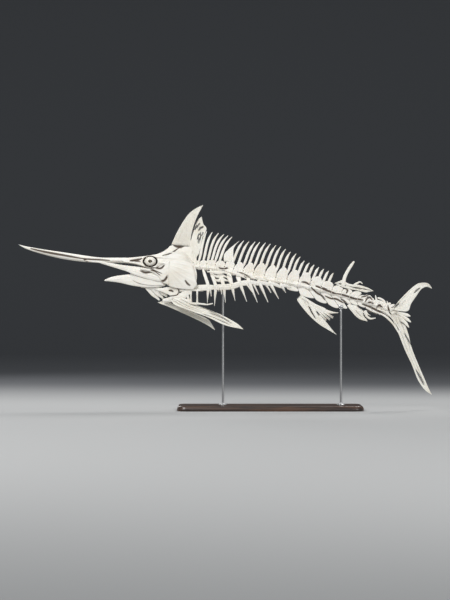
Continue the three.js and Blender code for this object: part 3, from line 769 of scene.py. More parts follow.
class Sweeper:
    """Sweeps strands into closed shells with one group of geometry nodes."""

    def __init__(self) -> None:
        """Builds the group once, for every sweep."""
        self.group = self.sweeping()

    @staticmethod
    def sweeping() -> Tree:
        """Builds the group: a ring follows each guide and takes its half sizes from the guide's points.

        Returns:
            The group.
        """
        inputs = [("Geometry", "Geometry"), ("Sides", "Int", 8), ("Squareness", "Float", 0.0), ("Material", "Material")]
        graph = new_group("Swept bones", "GeometryNodeTree", inputs, [("Geometry", "Geometry")])
        start = graph.add("NodeGroupInput")
        curve = graph.add("GeometryNodeMeshToCurve", {"Mesh": start.outputs["Geometry"]})
        circle = graph.add("GeometryNodeCurvePrimitiveCircle", {"Resolution": start.outputs["Sides"], "Radius": 1.0})
        place = graph.add("GeometryNodeInputPosition")
        ring = graph.add(
            "GeometryNodeStoreNamedAttribute",
            {"Geometry": circle.outputs["Curve"], "Name": "ring", "Value": place.outputs[0]},
            data_type="FLOAT_VECTOR",
            domain="POINT",
        )
        swept = graph.add(
            "GeometryNodeCurveToMesh",
            {"Curve": curve.outputs["Curve"], "Profile Curve": ring.outputs["Geometry"], "Fill Caps": True},
        )

        def named(name: str, kind: str) -> Socket:
            """A value that the guides or the ring carry."""
            return graph.add("GeometryNodeInputNamedAttribute", {"Name": name}, data_type=kind).outputs["Attribute"]

        parts = graph.add("ShaderNodeSeparateXYZ", {0: named("ring", "FLOAT_VECTOR")})
        across = graph.scaled(
            named("across", "FLOAT_VECTOR"), graph.maths("MULTIPLY", parts.outputs[0], named("wide", "FLOAT"))
        )
        up = graph.scaled(
            named("up", "FLOAT_VECTOR"), graph.maths("MULTIPLY", parts.outputs[1], named("high", "FLOAT"))
        )
        target = graph.vector("ADD", named("centre", "FLOAT_VECTOR"), graph.vector("ADD", across, up))
        moved = graph.add("GeometryNodeSetPosition", {"Geometry": swept.outputs["Mesh"], "Position": target})
        whole = graph.add("GeometryNodeRealizeInstances", {"Geometry": moved.outputs["Geometry"]})
        dressed = graph.add(
            "GeometryNodeSetMaterial", {"Geometry": whole.outputs["Geometry"], "Material": start.outputs["Material"]}
        )
        graph.add("NodeGroupOutput", {"Geometry": dressed.outputs["Geometry"]})
        return graph.tree

    def sweep(self, strands: Sequence[Strand], sides: int = 8) -> Shell:
        """Sweeps strands.

        Args:
            strands: the strands.
            sides: points round each.

        Returns:
            A shell with one closed surface for each strand.
        """
        rows = [len(s.path) for s in strands]
        starts = np.r_[0, np.cumsum(rows)[:-1]]
        edges = np.concatenate([
            np.stack([np.arange(n - 1), np.arange(1, n)], axis=1) + s for n, s in zip(rows, starts)
        ])
        centre = np.concatenate([s.path for s in strands]) * MM
        frames = [s.frames() for s in strands]
        runs = [np.r_[0, np.cumsum(np.linalg.norm(np.diff(s.path, axis=0), axis=1))] * MM for s in strands]
        numbers = np.repeat(np.arange(len(strands)), rows)
        grain = np.stack([np.concatenate(runs), numbers * 0.37, numbers * 0.113], axis=1)
        mesh = bpy.data.meshes.new("guides")
        mesh.from_pydata(centre.tolist(), edges.tolist(), [])
        write(mesh, "centre", centre)
        write(mesh, "across", np.concatenate([f[0] for f in frames]))
        write(mesh, "up", np.concatenate([f[1] for f in frames]))
        write(mesh, "grain", grain)
        write(mesh, "wide", np.concatenate([s.wide for s in strands]) * MM)
        write(mesh, "high", np.concatenate([s.high for s in strands]) * MM)
        guide = show("guides", mesh)
        made = apply_group(guide, self.group, {"Sides": sides})
        shell = Shell.of(made)
        bpy.data.objects.remove(guide)
        bpy.data.meshes.remove(mesh)
        bpy.data.meshes.remove(made)
        return outward(shell)


# ---- Surface details ----


@dataclass(frozen=True)
class Mark:
    """A seam or opening: its line in the side view, half width, depth, and the least sideways tilt it is cut in."""

    line: tuple[tuple[float, float], ...]
    half: float = 4.5
    depth: float = 3.0
    side: float = 0.3

    def reach(self, place: Points) -> Array:
        """How deep in the mark each point lies, from 0 to 1.

        Args:
            place: points in millimetres.

        Returns:
            One share for each point.
        """
        share = np.linspace(0, 1, 24 * (len(self.line) - 1))
        line = through(self.line)(share)[:, [0, 2]]
        half = self.half * (0.35 + 0.65 * np.sin(np.pi * share) ** 0.5)
        flat = place[:, [0, 2]]
        near = ((flat > line.min(axis=0) - self.half) & (flat < line.max(axis=0) + self.half)).all(axis=1)
        depth = np.zeros(len(place))
        gaps = np.linalg.norm(flat[near][:, None, :] - line[None, :, :], axis=2) / half
        if len(gaps):
            depth[near] = np.clip(2.2 - 2.2 * gaps.min(axis=1), 0, 1)
        return depth


@dataclass(frozen=True)
class Pit:
    """A hollow on the side of the head, painted with shade: its middle in the side view, half sizes, depth and least
    tilt.
    """

    x: float
    z: float
    long: float
    high: float
    depth: float = 0.0
    side: float = 0.0

    def reach(self, place: Points) -> Array:
        """How deep in the pit each point lies, from 0 to 1."""
        away = np.hypot((place[:, 0] - self.x) / self.long, (place[:, 2] - self.z) / self.high)
        return np.clip((1.06 - away) * 12, 0, 1)


Marks = tuple[Mark, ...]


def averaging(mesh: Mesh) -> Callable[[Array], Array]:
    """Makes a function that takes the mean of rows of values over each point's neighbours.

    Args:
        mesh: the mesh.

    Returns:
        The function.
    """
    a, b = read(mesh.edges, "vertices", 2, np.int32).T
    size = len(mesh.vertices)
    count = np.bincount(np.r_[a, b], minlength=size) + 1e-9

    def mean(values: Array) -> Array:
        """The mean of each point's neighbours."""
        columns = [np.bincount(a, v[b], size) + np.bincount(b, v[a], size) for v in values.T]
        return np.stack(columns, axis=1) / count[:, None]

    return mean


def hollows(mesh: Mesh, strength: float) -> Array:
    """How sunken each point of an evenly meshed surface is, from 0 to 1: the mask for painted shade.

    Args:
        mesh: the mesh.
        strength: how soon a hollow counts in full.

    Returns:
        One share for each point.
    """
    mean, place = averaging(mesh), coordinates(mesh)
    a, b = read(mesh.edges, "vertices", 2, np.int32).T
    span = np.linalg.norm(place[a] - place[b], axis=1).mean()
    sunken = ((mean(place) - place) * normals(mesh)).sum(axis=1, keepdims=True) / span
    for _ in range(3):
        sunken = (sunken + mean(sunken)) / 2
    return np.clip(sunken[:, 0] * strength, 0, 1)


# ---- Finishes ----

Colour = tuple[float, float, float, float]


def bone_tones() -> Tree:
    """Builds the shared group that colours bleached bone and paints shade into its hollows and seams.

    Returns:
        The group.
    """
    inputs = [("Place", "Vector"), ("Grain", "Vector"), ("Hollow", "Float", 0.0)]
    inputs += [(name, "Color") for name in ("Tone", "Shade", "Stain")]
    graph = new_group("Bone tones", "ShaderNodeTree", inputs, [("Colour", "Color")])
    start = graph.add("NodeGroupInput").outputs
    clouds = graph.noise(start["Place"], 5.0, 4.0)
    specks = graph.noise(start["Place"], 70.0, 6.0, Roughness=0.7)
    long = graph.vector("MULTIPLY", start["Grain"], (9.0, 60.0, 60.0))
    streaks = graph.noise(long, 1.0, 3.0)
    cloudy = graph.maths("MULTIPLY", graph.ramp(clouds, 0.45, 0.75), 0.45)
    streaky = graph.maths("MULTIPLY", graph.ramp(streaks, 0.5, 0.8), 0.55)
    speckled = graph.maths("MULTIPLY", graph.ramp(specks, 0.56, 0.75), 0.4)
    colour = graph.blend(cloudy, start["Tone"], start["Shade"])
    colour = graph.blend(streaky, colour, start["Shade"])
    colour = graph.blend(speckled, colour, start["Shade"])
    # Painted shade: the hollow mask blends in the dark painted shade colour, in hollows, seams and between fin rays.
    colour = graph.blend(start["Hollow"], colour, start["Stain"])
    graph.add("NodeGroupOutput", {"Colour": colour})
    return graph.tree


def bone_relief() -> Tree:
    """Builds the shared group that gives bone its pores and long fibres.

    Returns:
        The group.
    """
    inputs = [("Place", "Vector"), ("Grain", "Vector"), ("Fibres", "Float", 0.4), ("Pores", "Float", 0.4)]
    graph = new_group("Bone relief", "ShaderNodeTree", inputs, [("Normal", "Vector")])
    start = graph.add("NodeGroupInput").outputs
    pits = graph.add("ShaderNodeTexVoronoi", {"Vector": start["Place"], "Scale": 230.0}, feature="SMOOTH_F1")
    lumps = graph.noise(start["Place"], 38.0, 5.0)
    long = graph.vector("MULTIPLY", start["Grain"], (30.0, 420.0, 420.0))
    fibres = graph.noise(long, 1.0, 2.0)
    height = graph.maths("MULTIPLY", graph.ramp(pits.outputs[0], 0.0, 0.5), start["Pores"])
    height = graph.maths("ADD", height, graph.maths("MULTIPLY", fibres, start["Fibres"]))
    height = graph.maths("ADD", height, lumps)
    graph.add("NodeGroupOutput", {"Normal": graph.bump(height, 0.35, 0.002)})
    return graph.tree


@dataclass(frozen=True)
class BoneLook:
    """Dry, bleached bone."""

    slot: str
    tone: Colour
    shade: Colour
    # The dark colour painted into hollows and seams as shade.
    stain: Colour
    roughness: float
    fibres: float
    pores: float
    glow: float = 0.06
    glow_reach: Row = (0.006, 0.004, 0.0025)

    def paint(self, tones: Tree, relief: Tree) -> bpy.types.Material:
        """Builds the material.

        Args:
            tones: the group that colours bone.
            relief: the group that roughens it.

        Returns:
            The material.
        """
        material, graph, shader = new_material(self.slot)
        place = graph.add("ShaderNodeTexCoord").outputs["Object"]
        grain = graph.add("ShaderNodeAttribute", attribute_name="grain").outputs["Vector"]
        hollow = graph.add("ShaderNodeAttribute", attribute_name="hollow").outputs["Fac"]
        values = {"Place": place, "Grain": grain, "Hollow": hollow}
        values.update({"Tone": self.tone, "Shade": self.shade, "Stain": self.stain})
        coloured = graph.add("ShaderNodeGroup", values, node_tree=tones)
        values = {"Place": place, "Grain": grain, "Fibres": self.fibres, "Pores": self.pores}
        rough = graph.add("ShaderNodeGroup", values, node_tree=relief)
        values = {"Base Color": coloured.outputs["Colour"], "Normal": rough.outputs["Normal"]}
        values.update({"Roughness": self.roughness, "Subsurface Weight": self.glow})
        values.update({"Subsurface Radius": self.glow_reach, "Subsurface Scale": 1.0})
        graph.feed(shader, values)
        return material


@dataclass(frozen=True)
class WoodLook:
    """Dark, waxed hardwood."""

    slot: str
    light: Colour
    dark: Colour
    roughness: float
    wax: float = 0.35
    wax_roughness: float = 0.18

    def paint(self) -> bpy.types.Material:
        """Builds the material.

        Returns:
            The material.
        """
        material, graph, shader = new_material(self.slot)
        place = graph.add("ShaderNodeTexCoord").outputs["Object"]
        long = graph.vector("MULTIPLY", place, (1.1, 14.0, 14.0))
        waves = graph.noise(long, 2.2, 5.0, Distortion=0.7)
        pores = graph.vector("MULTIPLY", place, (14.0, 420.0, 420.0))
        fine = graph.noise(pores, 1.0, 2.0)
        colour = graph.blend(graph.ramp(waves, 0.36, 0.68), self.dark, self.light)
        colour = graph.blend(graph.maths("MULTIPLY", graph.ramp(fine, 0.55, 0.8), 0.6), colour, self.dark)
        values = {"Base Color": colour, "Normal": graph.bump(fine, 0.15, 0.0004), "Roughness": self.roughness}
        graph.feed(shader, {**values, "Coat Weight": self.wax, "Coat Roughness": self.wax_roughness})
        return material


@dataclass(frozen=True)
class SteelLook:
    """Steel brushed along its length."""

    slot: str
    colour: Colour
    smooth: float = 0.24
    rough: float = 0.46

    def paint(self) -> bpy.types.Material:
        """Builds the material.

        Returns:
            The material.
        """
        material, graph, shader = new_material(self.slot)
        place = graph.add("ShaderNodeTexCoord").outputs["Object"]
        long = graph.vector("MULTIPLY", place, (700.0, 700.0, 12.0))
        brushed = graph.noise(long, 1.0, 2.0)
        rough = graph.add("ShaderNodeMapRange", {"Value": brushed, "To Min": self.smooth, "To Max": self.rough})
        values = {"Base Color": self.colour, "Metallic": 1.0}
        graph.feed(shader, {**values, "Roughness": rough.outputs[0], "Normal": graph.bump(brushed, 0.08, 0.0003)})
        return material


class Finish(Enum):
    """The finishes of the model, by the record's slots."""

    # The third colour of each bone look is the painted shade of its hollows and seams.
    BONE = BoneLook(
        "bone", (0.88, 0.85, 0.78, 1), (0.7, 0.63, 0.5, 1), (0.07, 0.045, 0.028, 1), 0.52, 0.35, 0.5
    )
    FIN_BONE = BoneLook(
        "fin_bone", (0.88, 0.85, 0.77, 1), (0.68, 0.61, 0.48, 1), (0.07, 0.045, 0.028, 1), 0.48, 0.7, 0.2
    )
    EYE_BONE = BoneLook(
        "eye_bone", (0.88, 0.85, 0.77, 1), (0.76, 0.69, 0.56, 1), (0.03, 0.02, 0.015, 1), 0.38, 0.15, 0.3
    )
    DARK_WOOD = WoodLook("dark_wood", (0.085, 0.038, 0.018, 1), (0.022, 0.011, 0.007, 1), 0.36)
    STEEL = SteelLook("steel", (0.42, 0.42, 0.42, 1))


def new_material(name: str) -> tuple[bpy.types.Material, Graph, bpy.types.Node]:
    """Starts a material with a Principled shader.

    Args:
        name: the material's name.

    Returns:
        The material, a graph of its nodes and the shader.
    """
    material = bpy.data.materials.new(name)
    material.use_nodes = True
    material.node_tree.nodes.clear()
    graph = Graph(material.node_tree)
    shader = graph.add("ShaderNodeBsdfPrincipled")
    graph.add("ShaderNodeOutputMaterial", {"Surface": shader.outputs[0]})
    return material, graph, shader


# ---- The workshop: turns shapes into dressed pieces ----


@dataclass
class Workshop:
    """Makes pieces from shells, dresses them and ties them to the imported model."""

    # Painted shade on fin rays in the creases between rays, where the surface is edge-on: how dark, and how fast it
    # fades.
    painted_crease_shade: float = 0.5
    edge_reach: float = 1.9
    mark_rounds: int = 2

    def __post_init__(self) -> None:
        """Builds the sweeper and paints every finish."""
        self.sweeper = Sweeper()
        tones, relief = bone_tones(), bone_relief()
        self.paints = {
            finish: finish.value.paint(tones, relief) if isinstance(finish.value, BoneLook) else finish.value.paint()
            for finish in Finish
        }

    def sweep(self, strands: Sequence[Strand], sides: int = 8) -> Shell:
        """Sweeps strands into a shell."""
        return self.sweeper.sweep(strands, sides)

    def fuse(self, shell: Shell, voxel: float, rounds: int = 2) -> Shell:
        """Joins overlapping shells under one even skin.

        Args:
            shell: the shells.
            voxel: the size of the skin's faces, in millimetres.
            rounds: how often the skin is smoothed.

        Returns:
            The joined shell.
        """
        mesh = shell.mesh("raw")
        obj = show("raw", mesh)
        join = obj.modifiers.new("Join", "REMESH")
        join.mode, join.voxel_size = "VOXEL", voxel * MM
        soften = obj.modifiers.new("Soften", "SMOOTH")
        soften.factor, soften.iterations = 0.5, rounds
        made = plain_mesh(obj)
        joined = Shell.of(made)
        bpy.data.objects.remove(obj)
        bpy.data.meshes.remove(mesh)
        bpy.data.meshes.remove(made)
        return joined

    def place(
        self, node: str, shell: Shell, finish: Finish, marks: Sequence[Mark | Pit] = (), painted_hollow_shade: float = 0.0
    ) -> None:
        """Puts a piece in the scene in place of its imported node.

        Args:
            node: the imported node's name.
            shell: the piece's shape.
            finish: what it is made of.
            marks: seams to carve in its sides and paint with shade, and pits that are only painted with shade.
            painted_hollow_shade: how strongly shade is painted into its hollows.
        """
        mesh = shell.mesh(node)
        # Painted shade: sunken places are darkened towards the painted shade colour.
        hollow = hollows(mesh, painted_hollow_shade) if painted_hollow_shade else np.zeros(len(mesh.vertices))
        # Fin rays get painted shade where their surface turns edge-on: in the creases between rays and along the fins'
        # rims.
        if finish is Finish.FIN_BONE:
            hollow = self.painted_crease_shade * np.clip(1 - self.edge_reach * np.abs(normals(mesh)[:, 1]), 0, 1)
        if marks:
            place, normal = coordinates(mesh), normals(mesh)
            moved, mean = place.copy(), averaging(mesh)
            for mark in marks:
                outside = normal[:, 1] * np.sign(place[:, 1]) > mark.side
                reach = (mark.reach(place / MM) * outside)[:, None]
                for _ in range(self.mark_rounds):
                    reach = (reach + mean(reach)) / 2
                moved -= normal * reach * mark.depth * MM
                # Painted shade along each carved seam and over the eye pit.
                hollow = np.maximum(hollow, np.clip(1.5 * reach[:, 0], 0, 1) ** 0.8)
            mesh.vertices.foreach_set("co", moved.astype(np.float32).ravel())
            mesh.update()
        write(mesh, "hollow", hollow)
        mesh.materials.append(self.paints[finish])
        obj = show(f"{node}_dressed", mesh)
        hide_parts(node)
        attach(obj, BODY)
        log.info("made %s, %d triangles", obj.name, int((shell.counts - 2).sum()))


# ---- The backbone ----


@dataclass
class Spine:
    """Twenty-three waisted vertebrae with their plates, ribs and fin spines, and the tail plate."""

    shop: Workshop
    line: Backbone
    voxel: float = 2.6
    tail_voxel: float = 1.6
    plate_thick: float = 9.0
    plate_drop: float = 0.26
    lower_drop: float = 0.12
    dome_drop: float = 0.54
    dome_reach: float = 88.0
    hoop_reach: float = 46.0
    clear: float = 0.15
    flutes: int = 6
    hook: float = 16.0
    side_bones: int = 3
    tail_rays: int = 9
    blade_rays: int = 5
    # Strength of the shade painted into the hollows.
    painted_hollow_shade: float = 2.2

    # Seams along the column, [x, z] in the side view; each is carved and painted with shade.
    seams: Marks = (
        Mark(((728, 992), (792, 968), (856, 940), (896, 928)), 11, 5),
        Mark(((896, 932), (960, 915), (1040, 890), (1104, 880)), 11, 5),
        Mark(((800, 912), (848, 892), (888, 888), (920, 872), (948, 856)), 8, 4),
        Mark(((928, 888), (952, 872), (976, 844), (992, 812)), 8, 4),
        Mark(((688, 980), (736, 936), (776, 912), (800, 880)), 8, 4),
        Mark(((612, 1024), (640, 1022), (684, 998)), 8, 3),
        Mark(((920, 992), (952, 980), (980, 956), (972, 936)), 8, 4),
        Mark(((1096, 848), (1160, 824), (1224, 792), (1280, 760), (1328, 728)), 10, 4),
        Mark(((1128, 808), (1168, 782), (1224, 760)), 8, 3),
        Mark(((1302, 838), (1316, 788), (1364, 736)), 8, 4),
        Mark(((1120, 864), (1136, 890), (1156, 901), (1178, 882)), 8, 4),
        Mark(((1144, 859), (1164, 862), (1186, 851)), 10, 4),
        Mark(((1213, 822), (1232, 837), (1261, 821)), 10, 4),
        Mark(((1092, 904), (1120, 910), (1152, 923)), 6, 3),
        Mark(((-48, 1138), (-16, 1131), (24, 1136)), 9, 4),
        Mark(((96, 1104), (144, 1092), (200, 1056)), 6, 3),
    )
    blade: Edges = (
        ((-8, 1184), (-6, 1240), (28, 1280), (68, 1316), (112, 1352)),
        ((66, 1184), (66, 1248), (69, 1292), (86, 1322), (114, 1352))
    )
    # Wavy splints between the column and the row of side bones, carried by the third to the eighth vertebra.
    splints: dict[int, Line] = field(
        default_factory=lambda: {
            3: ((-96, 1084), (-64, 1067), (-32, 1072), (0, 1068), (36, 1044)),
            4: ((-84, 1048), (-56, 1035), (-24, 1043), (8, 1037), (40, 1027)),
            5: ((-144, 1106), (-96, 1104), (-48, 1096), (0, 1099), (56, 1060)),
            6: ((56, 1099), (112, 1082), (168, 1050)),
            7: ((144, 1086), (200, 1069), (256, 1043)),
            8: ((232, 1069), (280, 1053), (336, 1030)),
        }
    )
    # Short splinters that hang from the row of side bones.
    splinters: dict[int, tuple[Line, ...]] = field(
        default_factory=lambda: {
            2: (((-126, 980), (-115, 952), (-110, 908)),),
            4: (((-53, 984), (-50, 968), (-49, 948)), ((-40, 984), (-32, 960), (-26, 923)),),
            5: (((-11, 984), (-8, 968), (-6, 947)), ((45, 988), (53, 968), (61, 947)),),
            7: (((164, 1016), (192, 980), (220, 940)),),
            8: (((228, 1008), (248, 968), (270, 923)),),
            9: (((324, 1004), (348, 972), (368, 936)),),
        }
    )
    # The hoops and hooks on top of the tail's root.
    hoops: dict[int, tuple[Line, ...]] = field(
        default_factory=lambda: {
            18: (((1092, 876), (1108, 902), (1136, 915), (1164, 907), (1189, 868)),),
            19: (((1213, 844), (1211, 880), (1203, 918)),),
            20: (
                ((1208, 848), (1224, 864), (1248, 867), (1272, 848), (1285, 820)),
                ((1220, 898), (1248, 888), (1276, 868), (1288, 832)),
            ),
            21: (((1310, 800), (1304, 832), (1296, 872)),),
        }
    )

    def build(self) -> None:
        """Makes every vertebra and the tail plate."""
        for number in range(1, self.line.vertebrae + 1):
            self.shop.place(f"vertebra_{number:02d}", self.vertebra(number), Finish.BONE, self.seams, self.painted_hollow_shade)
        self.shop.place("tail_plate", self.tail_plate(), Finish.BONE, painted_hollow_shade=self.painted_hollow_shade)

    def centrum(self, start: float, end: float) -> Shell:
        """The waisted, fluted body of a vertebra with a rolled rim at each end.

        Args:
            start: where it starts along the backbone.
            end: where it ends.

        Returns:
            The shell.
        """
        line = self.line
        radius = float(line.radius((start + end) / 2 / line.length))
        waist = eased(
            (0, 0.93), (0.04, 1), (0.1, 0.96), (0.32, 0.7), (0.5, 0.6), (0.68, 0.7), (0.9, 0.96), (0.96, 1), (1, 0.93)
        )
        share = np.sort(np.r_[np.linspace(0, 1, 17), 0.02, 0.04, 0.96, 0.98])
        along = start + self.clear + (end - start - 2 * self.clear) * share
        turn = np.linspace(0, 2 * np.pi, 36, endpoint=False)
        flutes = 1 + 0.07 * np.sin(np.pi * share)[:, None] * np.cos(self.flutes * turn)[None, :]
        size = radius * waist(share)[:, None] * flutes
        middle, over = line.point(along), line.point(along, 1.0)
        up = over - middle
        rings = middle[:, None, :] + up[:, None, :] * (size * np.sin(turn))[..., None]
        rings[..., 1] += size * np.cos(turn)
        return skin(rings)

    def plate(self, start: float, end: float, reach: float, lean: Law, sign: int) -> Shell:
        """A ridged plate with a rounded end, above or below a vertebra.

        Args:
            start: where it starts along the backbone.
            end: where it ends.
            reach: its height.
            lean: how steeply it leans back, by share of the backbone.
            sign: 1 above, -1 below.

        Returns:
            The shell.
        """
        line = self.line
        length = end - start
        radius = float(line.radius((start + end) / 2 / line.length))
        upper_drop = self.dome_drop if reach > self.dome_reach else self.plate_drop
        drop = upper_drop if sign > 0 else self.lower_drop
        root = radius * 0.4

        def surface(p: Array, q: Array) -> Points:
            """The plate's middle surface."""
            crown = reach * (1 - drop * np.abs(2 * p - 1) ** 2.4)
            out = root + (crown - root) * q
            spread = np.clip((out - root) / (radius * 0.9), 0, 1)
            inset = 0.12 - 0.11 * spread
            x = start + length * (inset + (1 - 2 * inset) * p)
            back = lean(x / line.length) * np.maximum(0, out - radius)
            return line.point(x + back, sign * out)

        def ridges(p: Array, q: Array) -> Array:
            """The height of its ridges."""
            fade = np.sin(np.pi * np.clip(q, 0, 1)) ** 0.5
            return 1.3 * fade * ridge(4.5 * p + 0.4 * q) - 0.6

        return sheet(surface, self.plate_thick, 34, 34, ridges, 0.62)

    def prongs(self, start: float, end: float, reach: float) -> list[Strand]:
        """The prongs with which a vertebra clasps the one in front, and a keel along each flank.

        Args:
            start: where it starts along the backbone.
            end: where it ends.
            reach: the height of the plate above.

        Returns:
            The prongs and keels.
        """
        line = self.line
        radius = float(line.radius((start + end) / 2 / line.length))
        length = end - start
        made = []
        for side in Side:
            y = side.value
            root = line.point(start + 0.5 * length, radius * 0.8, y * 7)[0]
            bend = line.point(start + 0.2 * length, radius * 1.15, y * 9)[0]
            tip = line.point(start - 0.12 * length, min(radius * 1.55, reach * 0.8), y * 8)[0]
            made.append(strand(through([root, bend, tip]), 3.2, eased((0, 8), (0.5, 7), (1, 2.5)), 12, 0.15))
            keel = [line.point(start + share * length, -2, y * radius * 0.5)[0] for share in (0.1, 0.5, 0.9)]
            made.append(strand(through(keel), eased((0, 9), (0.5, 7), (1, 9)), 4, 9))
        return made

    def fin_spine(self, at: float) -> Strand:
        """One spine of the low dorsal fin, a slender double curve that leans back.

        Args:
            at: its place along the backbone.

        Returns:
            The spine.
        """
        line = self.line
        share = at / line.length
        root = float(line.neural_top(share)) * 0.55
        reach = float(line.spine_top(share)) - root
        lean = float(line.spine_lean(share)) * reach
        return strand(
            lambda t: line.point(at + lean * t**3 - self.hook * (1 - t) ** 5, root + reach * t),
            eased((0, 4.5), (0.6, 4.5), (1, 2)),
            eased((0, 7), (0.25, 10.5), (0.7, 10), (1, 3)),
            26,
            0.04,
        )

    def rib_path(self, number: int, sign: int) -> tuple[Path, Points]:
        """The path of a rib, and where it crosses the row of side bones.

        Args:
            number: its vertebra.
            sign: the side's sign.

        Returns:
            The path and the crossing.
        """
        line = self.line
        middle = (line.starts[number - 1] + line.starts[number]) / 2
        share = middle / line.length
        bulge, band_z, tip_z = (float(law(share)) for law in (line.rib_bulge, line.band_z, line.rib_tip_z))
        radius = float(line.radius(share))
        root = line.point(middle, -0.4 * radius, sign * 0.25 * radius)[0]
        band = np.array([root[0] + 0.3 * (root[2] - band_z), sign * bulge, band_z])
        tip = np.array([band[0] + float(line.rib_sweep(share)) * (band_z - tip_z), sign * (bulge - 20), tip_z])
        shoulder = root + (band - root) * 0.35
        shoulder[1] = sign * bulge * 0.76
        flank = (band + tip) / 2
        flank[1] = sign * bulge
        return through([root, shoulder, band, flank, tip]), band

    def rib(self, number: int, sign: int) -> list[Strand]:
        """A rib and the side bones that sweep back from it towards the next rib.

        Args:
            number: its vertebra.
            sign: the side's sign.

        Returns:
            The rib and side bones.
        """
        line = self.line
        path, band = self.rib_path(number, sign)
        after = self.rib_path(number + 1, sign)[1] if number < line.last_rib else band + (70, -sign * 16, 0)
        dip = float(eased((2, 0), (5, 0), (7, 16), (10, 20))(number))
        ahead = -1.95 if number == line.first_rib else -0.04
        depth = float(eased((2, 25), (5, 25), (8, 16), (10, 12))(number))
        broad = float(eased((2, 12), (5, 20), (8, 12), (10, 9))(number))
        t = np.linspace(0, 1, 16)
        made = [
            strand(path, eased((0, 6), (0.5, 5), (1, 2)), eased((0, 8), (0.25, broad), (0.5, 13), (1, 2)), 30, 0.03)
        ]
        for layer in range(self.side_bones):
            share = (layer - 1) / self.side_bones
            points = band + (after - band) * (ahead + (1.22 - ahead) * t)[:, None]
            under = 34 * np.clip(1 - t / 0.36, 0, 1) if number == line.first_rib else 0.0
            points[:, 1] += sign * (8 - 16 * t**1.5 - 3 * abs(share) - under)
            points[:, 2] -= dip * t**2 + depth * 0.3 + share * 1.5 * depth * (1 - 0.2 * t)
            high = eased((0, depth * 0.4), (0.6, depth * 0.5), (1, depth * 0.12))
            made.append(strand(points, eased((0, 4.5), (0.7, 4), (1, 1.5)), high, blunt=0.08))
        return made

    def vertebra(self, number: int) -> Shell:
        """One vertebra, numbered from the skull, with all that it carries.

        Args:
            number: its number.

        Returns:
            The shell.
        """
        line = self.line
        start, end = float(line.starts[number - 1]), float(line.starts[number])
        share = (start + end) / 2 / line.length
        reach = float(line.neural_top(share))
        upright = eased((0.72, 0.1), (0.82, 0.8), (1, 0.9))
        reach = min(reach, self.hoop_reach) if number in self.hoops else reach
        core = [self.centrum(start, end), self.plate(start, end, reach, upright, 1)]
        if number > line.last_rib:
            core.append(self.plate(start, end, float(line.haemal_depth(share)), line.haemal_lean, -1))
        core.append(self.shop.sweep(self.prongs(start, end, reach), 10))
        body = self.shop.fuse(pile(*core), self.voxel)
        strands = [
            strand(through(path), 4, eased((0, 7), (0.5, 8), (1, 4)), 24, 0.08) for path in self.hoops.get(number, ())
        ]
        if number in self.splints:
            for side in Side:
                bulge = side.value * float(line.rib_bulge(share)) * 0.9
                splint = through(self.splints[number], bulge)
                strands.append(
                    strand(splint, eased((0, 2), (0.4, 4), (1, 2)), eased((0, 4), (0.45, 14), (1, 2)), 30, 0.03)
                )
        for path in self.splinters.get(number, ()):
            for side in Side:
                hanging = through(path, side.value * (float(line.rib_bulge(share)) + 4))
                strands.append(strand(hanging, eased((0, 4), (1, 2)), eased((0, 8), (0.4, 5), (1, 2)), 14, 0.05))
        for count, at in enumerate(line.spines):
            if not start <= at < end:
                continue
            if count == line.broad_spine:
                strands += fan(*self.blade, self.blade_rays, (9, 5), 30)
            else:
                margin = (end - start) * 0.06
                strands.append(self.fin_spine(float(np.clip(at, start + margin, end - margin))))
        if line.first_rib <= number <= line.last_rib:
            strands += [piece for side in Side for piece in self.rib(number, side.value)]
        return pile(body, self.shop.sweep(strands, 12)) if strands else body

    def tail_plate(self) -> Shell:
        """The last vertebra, spread into a fan of plates that the tail fin clasps.

        Returns:
            The shell.
        """
        line = self.line
        start = float(line.length)
        made = []
        for ray in range(self.tail_rays):
            share = ray / (self.tail_rays - 1)
            foot, tip = -11 + 24 * share, -44 + 82 * share
            points = line.point(start + np.linspace(1, 60, 12), np.linspace(foot, tip, 12))
            made.append(strand(points, eased((0, 5), (1, 4.6)), eased((0, 4), (1, 6)), blunt=0.1))
        stub = strand(line.point(start + np.linspace(0.3, 30, 8), 0), eased((0, 17), (1, 4)), eased((0, 17), (1, 8)))
        return self.shop.fuse(self.shop.sweep([*made, stub], 12), self.tail_voxel)


# ---- The head ----


